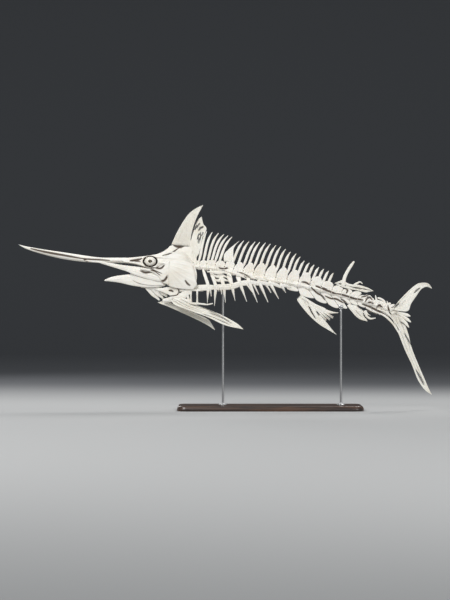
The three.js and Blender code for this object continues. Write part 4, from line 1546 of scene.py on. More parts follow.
@dataclass
class Head:
    """The skull with its bill and crest, the jaws, the eye rings, the cheeks and the gill covers."""

    shop: Workshop

    # Middles and half sizes of the skull from the tip of the bill: x, z, wide and high.
    skull_rows: Line = (
        (-1656, 1326, 2, 2),
        (-1600, 1302, 9, 10),
        (-1480, 1271, 19, 19),
        (-1320, 1239, 27, 27),
        (-1160, 1215, 32, 27),
        (-1000, 1199, 36, 22),
        (-860, 1198, 46, 21),
        (-740, 1194, 66, 26),
        (-640, 1186, 84, 46),
        (-540, 1180, 94, 68),
        (-420, 1182, 98, 84),
        (-330, 1174, 84, 84),
        (-285, 1160, 52, 54),
        (-256.3, 1150, 27, 27),
    )
    eye_x: float = -596.0
    eye_y: float = 60.0
    eye_z: float = 1188.0
    eye_radius: float = 48.0
    eye_wall: float = 5.0
    pupil: float = 17.0
    eye_squash: float = 0.76
    eye_depth: float = 0.66
    orbit: float = 58.0
    rough_voxel: float = 3.2
    skull_voxel: float = 2.8
    jaw_voxel: float = 2.4
    growth_lines: int = 26
    throat_rays: int = 3
    # Strengths of the shade painted into the hollows: of the skull and jaw, of the thin sheets and of the gill covers.
    painted_hollow_shade: float = 2.0
    painted_hollow_shade_sheets: float = 3.0
    painted_hollow_shade_cover: float = 4.0

    # Seams of the head, [x, z] in the side view; each is carved and painted with shade.
    bill_seams: Marks = (
        Mark(((-1553, 1291), (-1429, 1262), (-1284, 1236), (-1138, 1210)), 11, 5),
        Mark(((-1150, 1211), (-1066, 1204), (-990, 1201), (-920, 1195)), 9, 5),
        Mark(((-1130, 1206), (-1108, 1192), (-1094, 1178)), 8, 5),
    )
    tear: Marks = (
        Mark(((-756, 1193), (-706, 1200), (-664, 1212)), 12, 6),
        Mark(((-744, 1191), (-706, 1190), (-676, 1186)), 6, 5),
    )
    under_eye: Mark = Mark(((-640, 1150), (-600, 1141), (-560, 1134), (-532, 1140)), 5, 4)
    hook: Mark = Mark(((-551, 1133), (-508, 1133), (-482, 1158)), 8, 5)
    lip: Mark = Mark(((-671, 1112), (-636, 1098), (-586, 1103)), 9, 4)
    jaw_seams: Marks = (
        Mark(((-640, 1150), (-580, 1124), (-502, 1089)), 5, 4),
        Mark(((-590, 1118), (-560, 1108), (-515, 1075)), 5, 4),
    )
    cheek_seam: Mark = Mark(((-456, 1074), (-482, 1036), (-551, 1019)), 10, 5)
    crest_seams: Marks = (
        Mark(((-500, 1235), (-435, 1254), (-365, 1298)), 6, 5),
        Mark(((-408, 1316), (-362, 1304), (-311, 1325)), 12, 4),
    )
    gill_seam: Mark = Mark(((-316, 1036), (-300, 1012), (-278, 994)), 8, 3)

    # Outlines in the side view, [x, z], upper edges first.
    crest_edges: Edges = (
        ((-590, 1232), (-510, 1262), (-462, 1292), (-432, 1318), (-350, 1314), (-262, 1306)),
        ((-560, 1180), (-460, 1170), (-360, 1170), (-250, 1180)),
    )
    jaw_edges: Edges = (
        (
            (-990, 1180), (-920, 1176), (-840, 1162), (-760, 1152), (-680, 1142), (-600, 1124), (-540, 1096),
            (-496, 1040)
        ),
        (
            (-990, 1174), (-920, 1152), (-840, 1126), (-784, 1108), (-716, 1078), (-620, 1050), (-550, 1034),
            (-496, 1028)
        ),
    )
    bill_splint: Line = ((-1118, 1195), (-1060, 1190), (-1000, 1184), (-940, 1170))
    # Middles and half sizes of each branch of the lower jaw, as for the skull.
    jaw_rows: Line = (
        (-966, 1036, 9, 4),
        (-920, 1044, 11, 16),
        (-840, 1047, 10, 30),
        (-728, 1038, 9, 46),
        (-600, 1016, 8, 36),
        (-520, 1012, 9, 28),
        (-476, 1010, 9, 16),
    )
    wing_edges: Edges = (
        ((-756, 1102), (-716, 1090), (-620, 1062), (-550, 1046), (-500, 1040)),
        ((-756, 1050), (-700, 1020), (-620, 1000), (-550, 996), (-486, 998)),
    )
    cheek_edges: Edges = (
        ((-672, 1130), (-620, 1130), (-560, 1130), (-510, 1150), (-440, 1198)),
        ((-668, 1124), (-590, 1106), (-536, 1074), (-500, 1024), (-448, 1000)),
    )
    cover_edges: Edges = (
        ((-456, 1192), (-400, 1200), (-330, 1194), (-262, 1168)),
        ((-464, 1002), (-430, 984), (-350, 968), (-262, 962)),
    )
    tongue: Line = ((-676, 990), (-612, 980), (-560, 972), (-496, 968))

    def build(self) -> None:
        """Makes every piece of the head."""
        # The orbit round each eye is painted with shade; the pit has no depth, so nothing is cut.
        eye = Pit(self.eye_x, self.eye_z, self.orbit, self.orbit * self.eye_squash)
        seams = (*self.bill_seams, *self.tear, self.under_eye, self.hook, *self.crest_seams, eye)
        self.shop.place("skull_and_bill", self.skull(), Finish.BONE, seams, self.painted_hollow_shade)
        self.shop.place("lower_jaw", self.lower_jaw(), Finish.BONE, (self.lip,), self.painted_hollow_shade)
        for side in Side:
            sign = side.value
            self.shop.place(f"eye_cup_{side.word}", self.eye_cup(sign), Finish.EYE_BONE)
            jaw, cheek = (self.lip, *self.jaw_seams), (self.hook, self.cheek_seam, *self.jaw_seams)
            self.shop.place(f"upper_jaw_{side.word}", self.upper_jaw(sign), Finish.BONE, jaw, self.painted_hollow_shade_sheets)
            self.shop.place(f"cheek_{side.word}", self.cheek(sign), Finish.BONE, cheek, self.painted_hollow_shade_sheets)
            cover = self.gill_cover(sign)
            self.shop.place(f"gill_cover_{side.word}", cover, Finish.BONE, (self.gill_seam,), self.painted_hollow_shade_cover)
            self.shop.place(f"throat_{side.word}", self.throat(sign), Finish.BONE)

    def skull(self) -> Shell:
        """The skull and bill in one, with ridges along the roof and flank and a hollow for each eye.

        Returns:
            The shell.
        """
        x, z, wide, high = spline(self.skull_rows)(np.linspace(0, 1, 260)).T
        middle = np.stack([x, np.zeros_like(x), z], axis=1)
        parts = [loft(middle, wide * 0.985, high * 0.985, 72, 2.15)]
        ridges = []
        for side in Side:
            y = side.value
            roof = through([
                (-800, y * 22, 1214), (-640, y * 36, 1226), (-500, y * 42, 1243), (-380, y * 40, 1252),
                (-300, y * 28, 1222)
            ])
            brow = through([
                (-700, y * 62, 1204), (-600, y * 80, 1224), (-530, y * 84, 1222), (-440, y * 88, 1214),
                (-330, y * 76, 1206)
            ])
            flank = through([(-540, y * 90, 1176), (-440, y * 98, 1172), (-340, y * 86, 1166), (-290, y * 56, 1150)])
            cheek = through([(-820, y * 50, 1188), (-700, y * 74, 1170), (-620, y * 84, 1148), (-540, y * 92, 1140)])
            ridges += [strand(roof, 7, eased((0, 2), (0.5, 8), (1, 3)), 24), strand(brow, 9, 7, 24, 0.1)]
            ridges += [strand(flank, 7, 8, 20, 0.1), strand(cheek, 7, eased((0, 4), (1, 12)), 20, 0.1)]
        parts += [self.shop.sweep(ridges, 12), self.crest()]
        shell = self.shop.fuse(pile(*parts), self.rough_voxel)
        place = self.grooved(shell.points / MM)
        ahead, above = place[:, 0] - self.eye_x, (place[:, 2] - self.eye_z) / self.eye_squash
        reach = (ahead**2 + above**2) ** 0.5 / self.orbit
        floor = self.eye_y - self.eye_depth * self.orbit * np.sqrt(np.clip(1 - reach**2, 0, 1))
        deep = np.where(reach < 1, np.minimum(np.abs(place[:, 1]), floor), np.abs(place[:, 1]))
        place[:, 1] = np.sign(place[:, 1]) * deep
        return self.shop.fuse(Shell(place * MM, shell.corners, shell.counts), self.skull_voxel, 3)

    def grooved(self, place: Points) -> Points:
        """Cuts long, shallow grooves along the bill, which fade before the eyes.

        Args:
            place: points in millimetres.

        Returns:
            The moved points.
        """
        x, z, _, _ = spline(self.skull_rows)(np.linspace(0, 1, 260)).T
        middle = np.interp(place[:, 0], x, z)
        angle = np.arctan2(place[:, 2] - middle, place[:, 1])
        fade = np.clip((-700 - place[:, 0]) / 200, 0, 1) * np.clip((place[:, 0] + 1620) / 200, 0, 1)
        scale = 1 - 0.06 * fade * np.clip(np.cos(11 * angle), 0, 1) ** 2
        grooved = place.copy()
        grooved[:, 1] *= scale
        grooved[:, 2] = middle + (place[:, 2] - middle) * scale
        return grooved

    def crest(self) -> Shell:
        """The bony crest that the fin's first bones stand on.

        Returns:
            The shell.
        """
        surface = between(*self.crest_edges, lambda p, q: p * 0)
        return sheet(surface, 10, 60, 30, lambda p, q: 2 * ridge(7 * p + 0.8 * q) * np.sin(np.pi * q) ** 0.5)

    def eye_cup(self, sign: int) -> Shell:
        """The cup of bone round an eyeball, open at the pupil.

        Args:
            sign: the side's sign.

        Returns:
            The shell.
        """
        opening = math.asin(self.pupil / self.eye_radius)
        outer = np.linspace(math.pi, opening, 30)
        inner = np.linspace(opening * 1.08, math.pi * 0.985, 24)
        sizes = np.r_[np.full(30, self.eye_radius), np.full(24, self.eye_radius - self.eye_wall)]
        angle = np.r_[outer, inner]
        turn = np.linspace(0, 2 * np.pi, 64, endpoint=False)
        plates = 1 + 0.012 * np.cos(14 * turn)[None, :] * np.clip(np.sin(angle) * 1.5 - 0.5, 0, 1)[:, None]
        reach = (np.sin(angle) * sizes)[:, None] * plates
        rings = np.stack(
            [
                self.eye_x + reach * np.cos(turn),
                np.broadcast_to(sign * (self.eye_y + np.cos(angle) * sizes * self.eye_depth)[:, None], reach.shape),
                self.eye_z + self.eye_squash * reach * np.sin(turn),
            ],
            axis=2,
        )
        return skin(rings)

    def upper_jaw(self, sign: int) -> Shell:
        """The strip along each side of the mouth, from the root of the bill to the jaw joint.

        Args:
            sign: the side's sign.

        Returns:
            The shell.
        """
        depth = eased((0, 30), (0.3, 50), (0.6, 78), (1, 100))
        surface = between(*self.jaw_edges, lambda p, q: sign * (depth(p) + 5 * np.sin(np.pi * q)))
        blade = sheet(surface, 8, 90, 28, lambda p, q: 1.3 * ridge(4.2 * q + 0.9 * p))
        front = strand(
            through(self.bill_splint, sloping(30, 8, sign)), eased((0, 2), (0.4, 5), (1, 5)),
            eased((0, 3), (0.4, 7), (1, 11)), 30, 0.05
        )
        return pile(blade, self.shop.sweep([front], 14))

    def lower_jaw(self) -> Shell:
        """The lower jaw: two branches that meet at its tip.

        Returns:
            The shell.
        """
        spread = eased((-966, 4), (-920, 9), (-728, 44), (-520, 74), (-476, 80))
        x, z, wide, high = spline(self.jaw_rows)(np.linspace(0, 1, 90)).T
        parts = []
        for side in Side:
            middle = np.stack([x, side.value * spread(x), z], axis=1)
            end = np.sqrt(np.clip((x + 966) / 6, 0.2, 1)) * np.sqrt(np.clip((-476 - x) / 8, 0.2, 1))
            parts.append(loft(middle, wide * 0.95 * end, high * end, 40, 2.3))
            crown = ((-900, 1046), (-740, 1052), (-600, 1030), (-490, 1016))
            keel = through([(x0, side.value * (float(spread(x0)) + 6), z0) for x0, z0 in crown])
            parts.append(self.shop.sweep([strand(keel, 4, eased((0, 4), (0.5, 8), (1, 6)), 24, 0.1)], 12))
            parts.append(self.jaw_wing(side.value))
        return self.shop.fuse(pile(*parts), self.jaw_voxel)

    def jaw_wing(self, sign: int) -> Shell:
        """The thin wing that rises from the lower jaw to the inside of the upper strip.

        Args:
            sign: the side's sign.

        Returns:
            The shell.
        """
        inside = eased((0, 52), (0.35, 68), (0.7, 84), (1, 94))
        return sheet(between(*self.wing_edges, lambda p, q: sign * (inside(p) - 3 * q)), 7, 50, 24, rim=0.6)

    def cheek(self, sign: int) -> Shell:
        """The bones from below the eye back to the ridge in front of the gill cover.

        Args:
            sign: the side's sign.

        Returns:
            The shell.
        """
        depth = eased((0, 92), (0.5, 106), (1, 118))
        surface = between(*self.cheek_edges, lambda p, q: sign * (depth(p) + 5 * np.sin(np.pi * q)))
        return sheet(surface, 7, 60, 40, lambda p, q: 1.3 * ridge(5 * q - 1.4 * p))

    def gill_cover(self, sign: int) -> Shell:
        """The broad, domed sheet behind the cheek, with growth lines that fan from its hinge.

        Args:
            sign: the side's sign.

        Returns:
            The shell.
        """
        upper, lower = (through(edge) for edge in self.cover_edges)
        rear = eased((0, -262), (0.45, -240), (0.8, -226), (1, -250))

        def surface(p: Array, q: Array) -> Points:
            """The cover's middle surface."""
            points = upper(p) * (1 - q)[:, None] + lower(p) * q[:, None]
            points[:, 0] += (rear(q) + 262) * p
            points[:, 1] = sign * (98 + 24 * np.sin(np.pi * (0.15 + 0.7 * q)) - 12 * p * p)
            return points

        def growth(p: Array, q: Array) -> Array:
            """The height of its growth lines."""
            angle = np.arctan2(q - 0.12, p + 0.15)
            return 1.7 * np.clip(np.cos(self.growth_lines * angle), 0, 1) * np.clip(p * 2, 0, 1)

        return sheet(surface, 5.5, 70, 70, growth)

    def throat(self, sign: int) -> Shell:
        """The tongue bar and the throat rays under a gill cover.

        Args:
            sign: the side's sign.

        Returns:
            The shell.
        """
        bar = through(self.tongue, sloping(24, 42, sign))
        made = [strand(bar, 5, eased((0, 9), (0.6, 14), (1, 10)), 24, 0.06)]
        for ray in range(self.throat_rays):
            root = bar(0.24 + 0.3 * ray)[0]
            tip = np.array([-524 + 30 * ray, sign * (26 + 10 * ray), 877 + 14 * ray])
            bend = (root + tip) / 2 + (4, sign * 12, 4)
            t = np.linspace(0, 1, 24)[:, None]
            path = root * (1 - t) ** 2 + bend * 2 * t * (1 - t) + tip * t**2
            made.append(strand(path, eased((0, 4), (1, 2.2)), eased((0, 16), (0.5, 21), (1, 7)), blunt=0.06))
        return self.shop.sweep(made, 14)


# ---- The shoulder and the paired fins ----


@dataclass
class Shoulder:
    """The shoulder girdle, the breast fin and the belly fin of both sides."""

    shop: Workshop
    voxel: float = 2.2
    # Strength of the shade painted into the hollows.
    painted_hollow_shade: float = 2.0
    depth: float = 84.0
    boss: Row = (-412.0, 952.0, 46.0)
    # Seams of the girdle, [x, z] in the side view; each is carved and painted with shade.
    seams: Marks = (
        Mark(((-591, 1003), (-498, 996), (-440, 996), (-392, 984), (-367, 955), (-380, 922), (-440, 912)), 6, 3),
        Mark(((-446, 956), (-430, 955), (-412, 947)), 9, 3),
    )
    fin_slots: Marks = (
        Mark(((-288, 850), (-192, 825), (-85, 778), (56, 701)), 7),
        Mark(((-192, 771), (-85, 738), (48, 677)), 6),
        Mark(((-144, 784), (-40, 744), (56, 690)), 6),
    )
    # Outlines in the side view, [x, z], front edges first.
    beam: Line = ((-256, 1172), (-244, 1080), (-270, 984), (-336, 914), (-424, 886), (-500, 878))
    breast_edges: Edges = (
        ((-430, 884), (-412, 852), (-280, 796), (-140, 746), (0, 682), (144, 648)),
        ((-412, 894), (-328, 894), (-240, 848), (-120, 800), (0, 744), (104, 684), (144, 650)),
    )
    belly_edges: Edges = (
        ((-540, 860), (-440, 824), (-280, 750), (-136, 678), (-80, 640)),
        ((-496, 874), (-400, 840), (-280, 788), (-200, 756), (-136, 722), (-80, 642)),
    )

    def build(self) -> None:
        """Makes both sides."""
        for side in Side:
            sign = side.value
            self.shop.place(f"shoulder_{side.word}", self.girdle(sign), Finish.BONE, self.seams, self.painted_hollow_shade)
            self.shop.place(f"pectoral_fin_{side.word}", self.breast_fin(sign), Finish.FIN_BONE)
            self.shop.place(f"pelvic_fin_{side.word}", self.belly_fin(sign), Finish.FIN_BONE)

    def girdle(self, sign: int) -> Shell:
        """A bent beam, the round boss of the fin's joint and the bars behind it.

        Args:
            sign: the side's sign.

        Returns:
            The shell.
        """
        y = sign * self.depth
        beam = through(self.beam, eased((0, sign * 66), (0.25, y), (0.7, y), (1, sign * 54)))
        x, z, radius = self.boss
        turn = np.linspace(0, 2 * np.pi, 64, endpoint=False)
        reach = np.array([radius * 0.96, radius, radius, radius * 0.96, radius * 0.8, radius * 0.5, radius * 0.2])
        out = np.array([-4.3, -3.4, 3.4, 4.3, 4.5, 4.0, 3.2])
        rings = np.stack(
            [
                x + reach[:, None] * np.cos(turn),
                np.broadcast_to(y + sign * out[:, None], (len(out), len(turn))),
                z + reach[:, None] * np.sin(turn),
            ],
            axis=2,
        )
        made = [
            strand(beam, eased((0, 5), (0.5, 7), (1, 6)), eased((0, 12), (0.3, 22), (0.7, 30), (1, 12)), 50, 0.03),
            strand(through([(-548, 964), (-480, 958), (-412, 950)], y), 4.5, eased((0, 8), (1, 38)), 24, 0.06),
            strand(through([(-376, 956), (-320, 952), (-296, 904), (-288, 852)], y), 4.5, 10, 34, 0.05),
            strand(
                through([(-304, 854), (-208, 850), (-140, 844), (-96, 852)], y), 4.5, eased((0, 9), (1, 5)), 34, 0.05
            ),
            strand(through([(-266, 958), (-170, 956)], y), 4.5, 7, 12, 0.08),
        ]
        made += [
            strand(through([(at, 956), (at, 848)], y), 4.5, eased((0, 8), (0.5, 5.5), (1, 8)), 20)
            for at in (-272, -222)
        ]
        return self.shop.fuse(pile(self.shop.sweep(made, 16), skin(rings)), self.voxel)

    def breast_fin(self, sign: int) -> Shell:
        """The long breast fin, swept back and down.

        Args:
            sign: the side's sign.

        Returns:
            The shell.
        """
        lower, upper = (through(edge, sloping(104, 74, sign)) for edge in self.breast_edges)
        return self.shop.sweep(fan(lower, upper, 14, (20, 3.5), 60, (3, 7, 10), 0.35, slots=self.fin_slots), 12)

    def belly_fin(self, sign: int) -> Shell:
        """The slender belly fin with its share of the hip bone.

        Args:
            sign: the side's sign.

        Returns:
            The shell.
        """
        lower, upper = (through(edge, sloping(16, 34, sign)) for edge in self.belly_edges)
        return self.shop.sweep(fan(lower, upper, 8, (12, 3.5), 50, gaps=(2, 5), slit=0.35), 12)


# ---- The fins on the midline ----


@dataclass
class MidlineFins:
    """The dorsal fin's lobe, the second dorsal fin and both anal fins."""

    shop: Workshop
    line: Backbone

    # Slits behind the lobe, in both anal fins and in the second dorsal fin, [x, z] in the side view.
    slits: Marks = (
        Mark(((-275, 1360), (-260, 1424), (-236, 1488), (-206, 1538)), 9),
        Mark(((-238, 1444), (-222, 1469), (-198, 1496)), 10),
        Mark(((-213, 1435), (-195, 1456), (-171, 1467)), 13),
        Mark(((-224, 1364), (-212, 1396), (-187, 1424)), 9),
        Mark(((-214, 1324), (-202, 1372), (-174, 1418)), 9),
        Mark(((-182, 1312), (-178, 1352), (-171, 1389)), 8),
        Mark(((-202, 1232), (-202, 1264), (-198, 1291)), 8),
    )
    anal_slits: Marks = (
        Mark(((655, 895), (665, 850), (690, 790), (725, 730)), 11),
        Mark(((622, 896), (640, 868), (650, 845)), 13),
        Mark(((710, 840), (730, 795), (755, 750)), 10),
        Mark(((740, 820), (758, 780), (780, 740)), 9),
        Mark(((765, 810), (786, 772), (810, 735)), 9),
        Mark(((790, 805), (814, 772), (840, 740)), 9),
    )
    last_slits: Marks = (
        Mark(((1104, 782), (1116, 750), (1144, 722)), 8),
        Mark(((1056, 830), (1082, 814), (1108, 798)), 9),
        Mark(((1044, 800), (1062, 776), (1092, 746)), 6),
    )
    back_slits: Marks = (
        Mark(((1000, 985), (1080, 973), (1172, 956)), 7),
        Mark(((912, 1010), (940, 1004), (966, 992)), 7),
    )
    # Outlines in the side view, [x, z], front or upper edges first.
    lobe_edges: Edges = (
        ((-430, 1320), (-384, 1420), (-328, 1516), (-280, 1578), (-216, 1622), (-176, 1639)),
        ((-284, 1309), (-276, 1368), (-264, 1432), (-240, 1508), (-212, 1572), (-176, 1637)),
    )
    nape_edges: Edges = (
        ((-299, 1280), (-288, 1336), (-272, 1392), (-244, 1468), (-216, 1520), (-189, 1547)),
        ((-202, 1232), (-187, 1296), (-174, 1360), (-163, 1408), (-149, 1451), (-173, 1483), (-186, 1544)),
    )
    foot_edges: Edges = (
        ((-280, 1184), (-296, 1280)),
        ((-227, 1184), (-227, 1221), (-200, 1264)),
    )
    dorsal_top: Line = (
        (878, 1017), (914, 1030), (946, 1040), (976, 1016), (1010, 1005), (1064, 1001), (1130, 982), (1190, 952)
    )
    dorsal_spine: Line = ((944, 990), (958, 1062), (990, 1126), (1034, 1190))
    dorsal_curl: Line = ((1030, 998), (1060, 1016), (1080, 1024), (1100, 1010))
    carrier_edges: Edges = (
        ((606, 922), (648, 896), (690, 868), (744, 838), (812, 810)),
        ((574, 886), (612, 868), (660, 838), (720, 796), (790, 776)),
    )
    anal_edges: Edges = (
        ((573, 885), (624, 816), (688, 744), (760, 682), (832, 638), (892, 602)),
        ((684, 860), (728, 798), (776, 740), (820, 690), (858, 642), (892, 604)),
    )
    short_tips: Line = ((812, 718), (840, 722), (866, 738))
    anal_curl: Line = ((700, 852), (760, 810), (840, 782), (908, 777))
    last_foot: Line = ((1000, 806), (1040, 770), (1090, 750), (1130, 770))
    last_edges: Edges = (
        ((1000, 810), (1040, 758), (1080, 728), (1138, 709)),
        ((1104, 790), (1112, 758), (1130, 730), (1140, 711)),
    )
    last_curl: Line = ((1122, 796), (1132, 754), (1162, 731), (1206, 736))
    last_thorn: Line = ((1124, 792), (1142, 768), (1164, 756))

    def build(self) -> None:
        """Makes the four fins."""
        self.shop.place("dorsal_fin_lobe", self.dorsal_lobe(), Finish.FIN_BONE)
        self.shop.place("dorsal_fin_second", self.second_dorsal(), Finish.FIN_BONE)
        self.shop.place("anal_fin_first", self.first_anal(), Finish.FIN_BONE)
        self.shop.place("anal_fin_second", self.second_anal(), Finish.FIN_BONE)

    def dorsal_lobe(self) -> Shell:
        """The tall front lobe, the rays behind it and the nape bones that carry them.

        Returns:
            The shell.
        """
        rays = fan(*self.lobe_edges, 16, (24, 5), 60)
        rays += fan(*self.nape_edges, 10, (13, 5), 54, slots=self.slits)
        rays += fan(*self.foot_edges, 5, (11, 11), 16)
        return self.shop.sweep(rays, 12)

    def over_plates(self, along: Array, side: int) -> Points:
        """Points just above or below the plates of the backbone.

        Args:
            along: distances along the backbone.
            side: 1 above, -1 below.

        Returns:
            One row for each distance.
        """
        line = self.line
        share = along / line.length
        if side > 0:
            return line.point(along, line.neural_top(share) + 1.5)
        depth = line.haemal_depth(share) + 4
        return line.point(along + line.haemal_lean(share) * (depth - line.radius(share)), -depth)

    def second_dorsal(self) -> Shell:
        """One stout upright spine and the rays that trail behind it.

        Returns:
            The shell.
        """
        first, last = self.line.starts[14] + 4, self.line.starts[18] - 10
        rays = fan(
            self.dorsal_top, lambda t: self.over_plates(first + (last - first) * t, 1), 7, (11, 4), 60, (3,), 0.5,
            slots=self.back_slits
        )
        rays.append(
            strand(self.dorsal_spine, eased((0, 7), (1, 3)), eased((0, 17), (0.3, 14), (0.8, 12), (1, 7)), 40, 0.03)
        )
        rays.append(strand(self.dorsal_curl, 3, eased((0, 9), (1, 4)), 24, 0.05))
        return self.shop.sweep(rays, 12)

    def first_anal(self) -> Shell:
        """A pointed blade, a fan of short rays and a trailing curl, below their ray bones.

        Returns:
            The shell.
        """
        rays = fan(*self.carrier_edges, 5, (10, 8), 30, gaps=(2,))
        rays += fan(*self.anal_edges, 12, (13, 4), 60, slots=self.anal_slits)
        for ray, tip in enumerate(self.short_tips):
            root = (708 + 20 * ray, 834 - 11 * ray)
            for twin in (-6, 0, 6):
                bend = (root[0] + 0.45 * (tip[0] - root[0]), root[1] + 0.5 * (tip[1] - root[1]) + 4 + twin * 0.8)
                end = (tip[0] + twin * 0.5, tip[1] + twin)
                rays.append(strand(through([root, bend, end]), 3.5, eased((0, 5), (1, 2)), 24, 0.05))
        rays.append(strand(self.anal_curl, 4, eased((0, 10), (0.5, 14), (1, 3)), 30, 0.04))
        return self.shop.sweep(rays, 12)

    def second_anal(self) -> Shell:
        """The short, hooked fin under the tail's root.

        Returns:
            The shell.
        """
        first, last = self.line.starts[15] + 8, self.line.starts[17] - 8
        rays = fan(
            lambda t: self.over_plates(first + (last - first) * t, -1), self.last_foot, 7, (9, 7), 40,
            slots=self.last_slits
        )
        rays += fan(*self.last_edges, 9, (11, 4), 40, slots=self.last_slits)
        rays.append(strand(self.last_curl, 4, eased((0, 13), (0.5, 9), (1, 4)), 30, 0.04))
        rays.append(strand(self.last_thorn, 3, eased((0, 8), (1, 2)), 20, 0.05))
        return self.shop.sweep(rays, 12)


@dataclass
class TailFin:
    """The two lobes of the tail fin and the short rays in its fork."""

    shop: Workshop

    # Long flat bones that run from the tail's root into the lower lobe, [x, z] in the side view.
    runners: tuple[Line, ...] = (
        ((1176, 790), (1266, 760), (1334, 702), (1394, 610)),
        ((1216, 808), (1290, 780), (1352, 720), (1408, 626)),
    )
    upper_slots: Marks = (
        Mark(((1352, 816), (1374, 838), (1392, 856)), 12), Mark(((1512, 936), (1540, 962), (1560, 976)), 12)
    )
    lower_slots: Marks = (
        Mark(((1368, 696), (1382, 668), (1392, 640)), 11),
        Mark(((1358, 772), (1400, 752), (1440, 730)), 6),
        Mark(((1398, 707), (1424, 692), (1460, 662)), 6),
        Mark(((1432, 616), (1462, 566), (1488, 520)), 8),
        Mark(((1528, 320), (1562, 260), (1592, 200)), 11),
    )
    # Front and rear edges of the lobes, from root to tip.
    upper_edges: Edges = (
        ((1326, 800), (1400, 882), (1480, 962), (1544, 1010), (1592, 1018), (1628, 1010), (1655, 974)),
        ((1396, 792), (1464, 794), (1484, 846), (1528, 912), (1570, 968), (1612, 986), (1655, 972)),
    )
    lower_edges: Edges = (
        ((1322, 760), (1352, 700), (1392, 600), (1440, 480), (1496, 360), (1544, 240), (1600, 160), (1652, 122)),
        ((1384, 796), (1408, 742), (1456, 640), (1500, 480), (1548, 360), (1600, 240), (1634, 162), (1653, 124)),
    )
    fork_tips: Line = ((1484, 750), (1488, 702), (1472, 660))

    def build(self) -> None:
        """Makes the three parts."""
        upper = fan(*self.upper_edges, 14, (20, 5), 80, (9, 12), 0.6, 7, self.upper_slots)
        lower = fan(*self.lower_edges, 12, (20, 5), 80, (3, 8), 0.6, 7, self.lower_slots)
        for path in self.runners:
            for side in Side:
                runner = through(path, sloping(9, -4, side.value))
                lower.append(strand(runner, eased((0, 3), (0.5, 4), (1, 3)), eased((0, 4), (0.5, 9), (1, 5)), 40, 0.04))
        self.shop.place("tail_fin_upper", self.shop.sweep(upper, 12), Finish.FIN_BONE)
        self.shop.place("tail_fin_lower", self.shop.sweep(lower, 12), Finish.FIN_BONE)
        self.shop.place("tail_fin_fork_rays", self.fork_rays(), Finish.FIN_BONE)

    def fork_rays(self) -> Shell:
        """The short, stout rays between the lobes.

        Returns:
            The shell.
        """
        rays = []
        for ray, tip in enumerate(self.fork_tips):
            root = (1372, 782 - 8 * ray)
            bend = ((root[0] + tip[0]) / 2, root[1] + 0.4 * (tip[1] - root[1]))
            rays.append(
                strand(through([root, bend, tip]), eased((0, 9), (1, 4)), eased((0, 7), (0.75, 12.5), (1, 5)), 30, 0.05)
            )
        return self.shop.sweep(rays, 14)


# ---- The stand ----


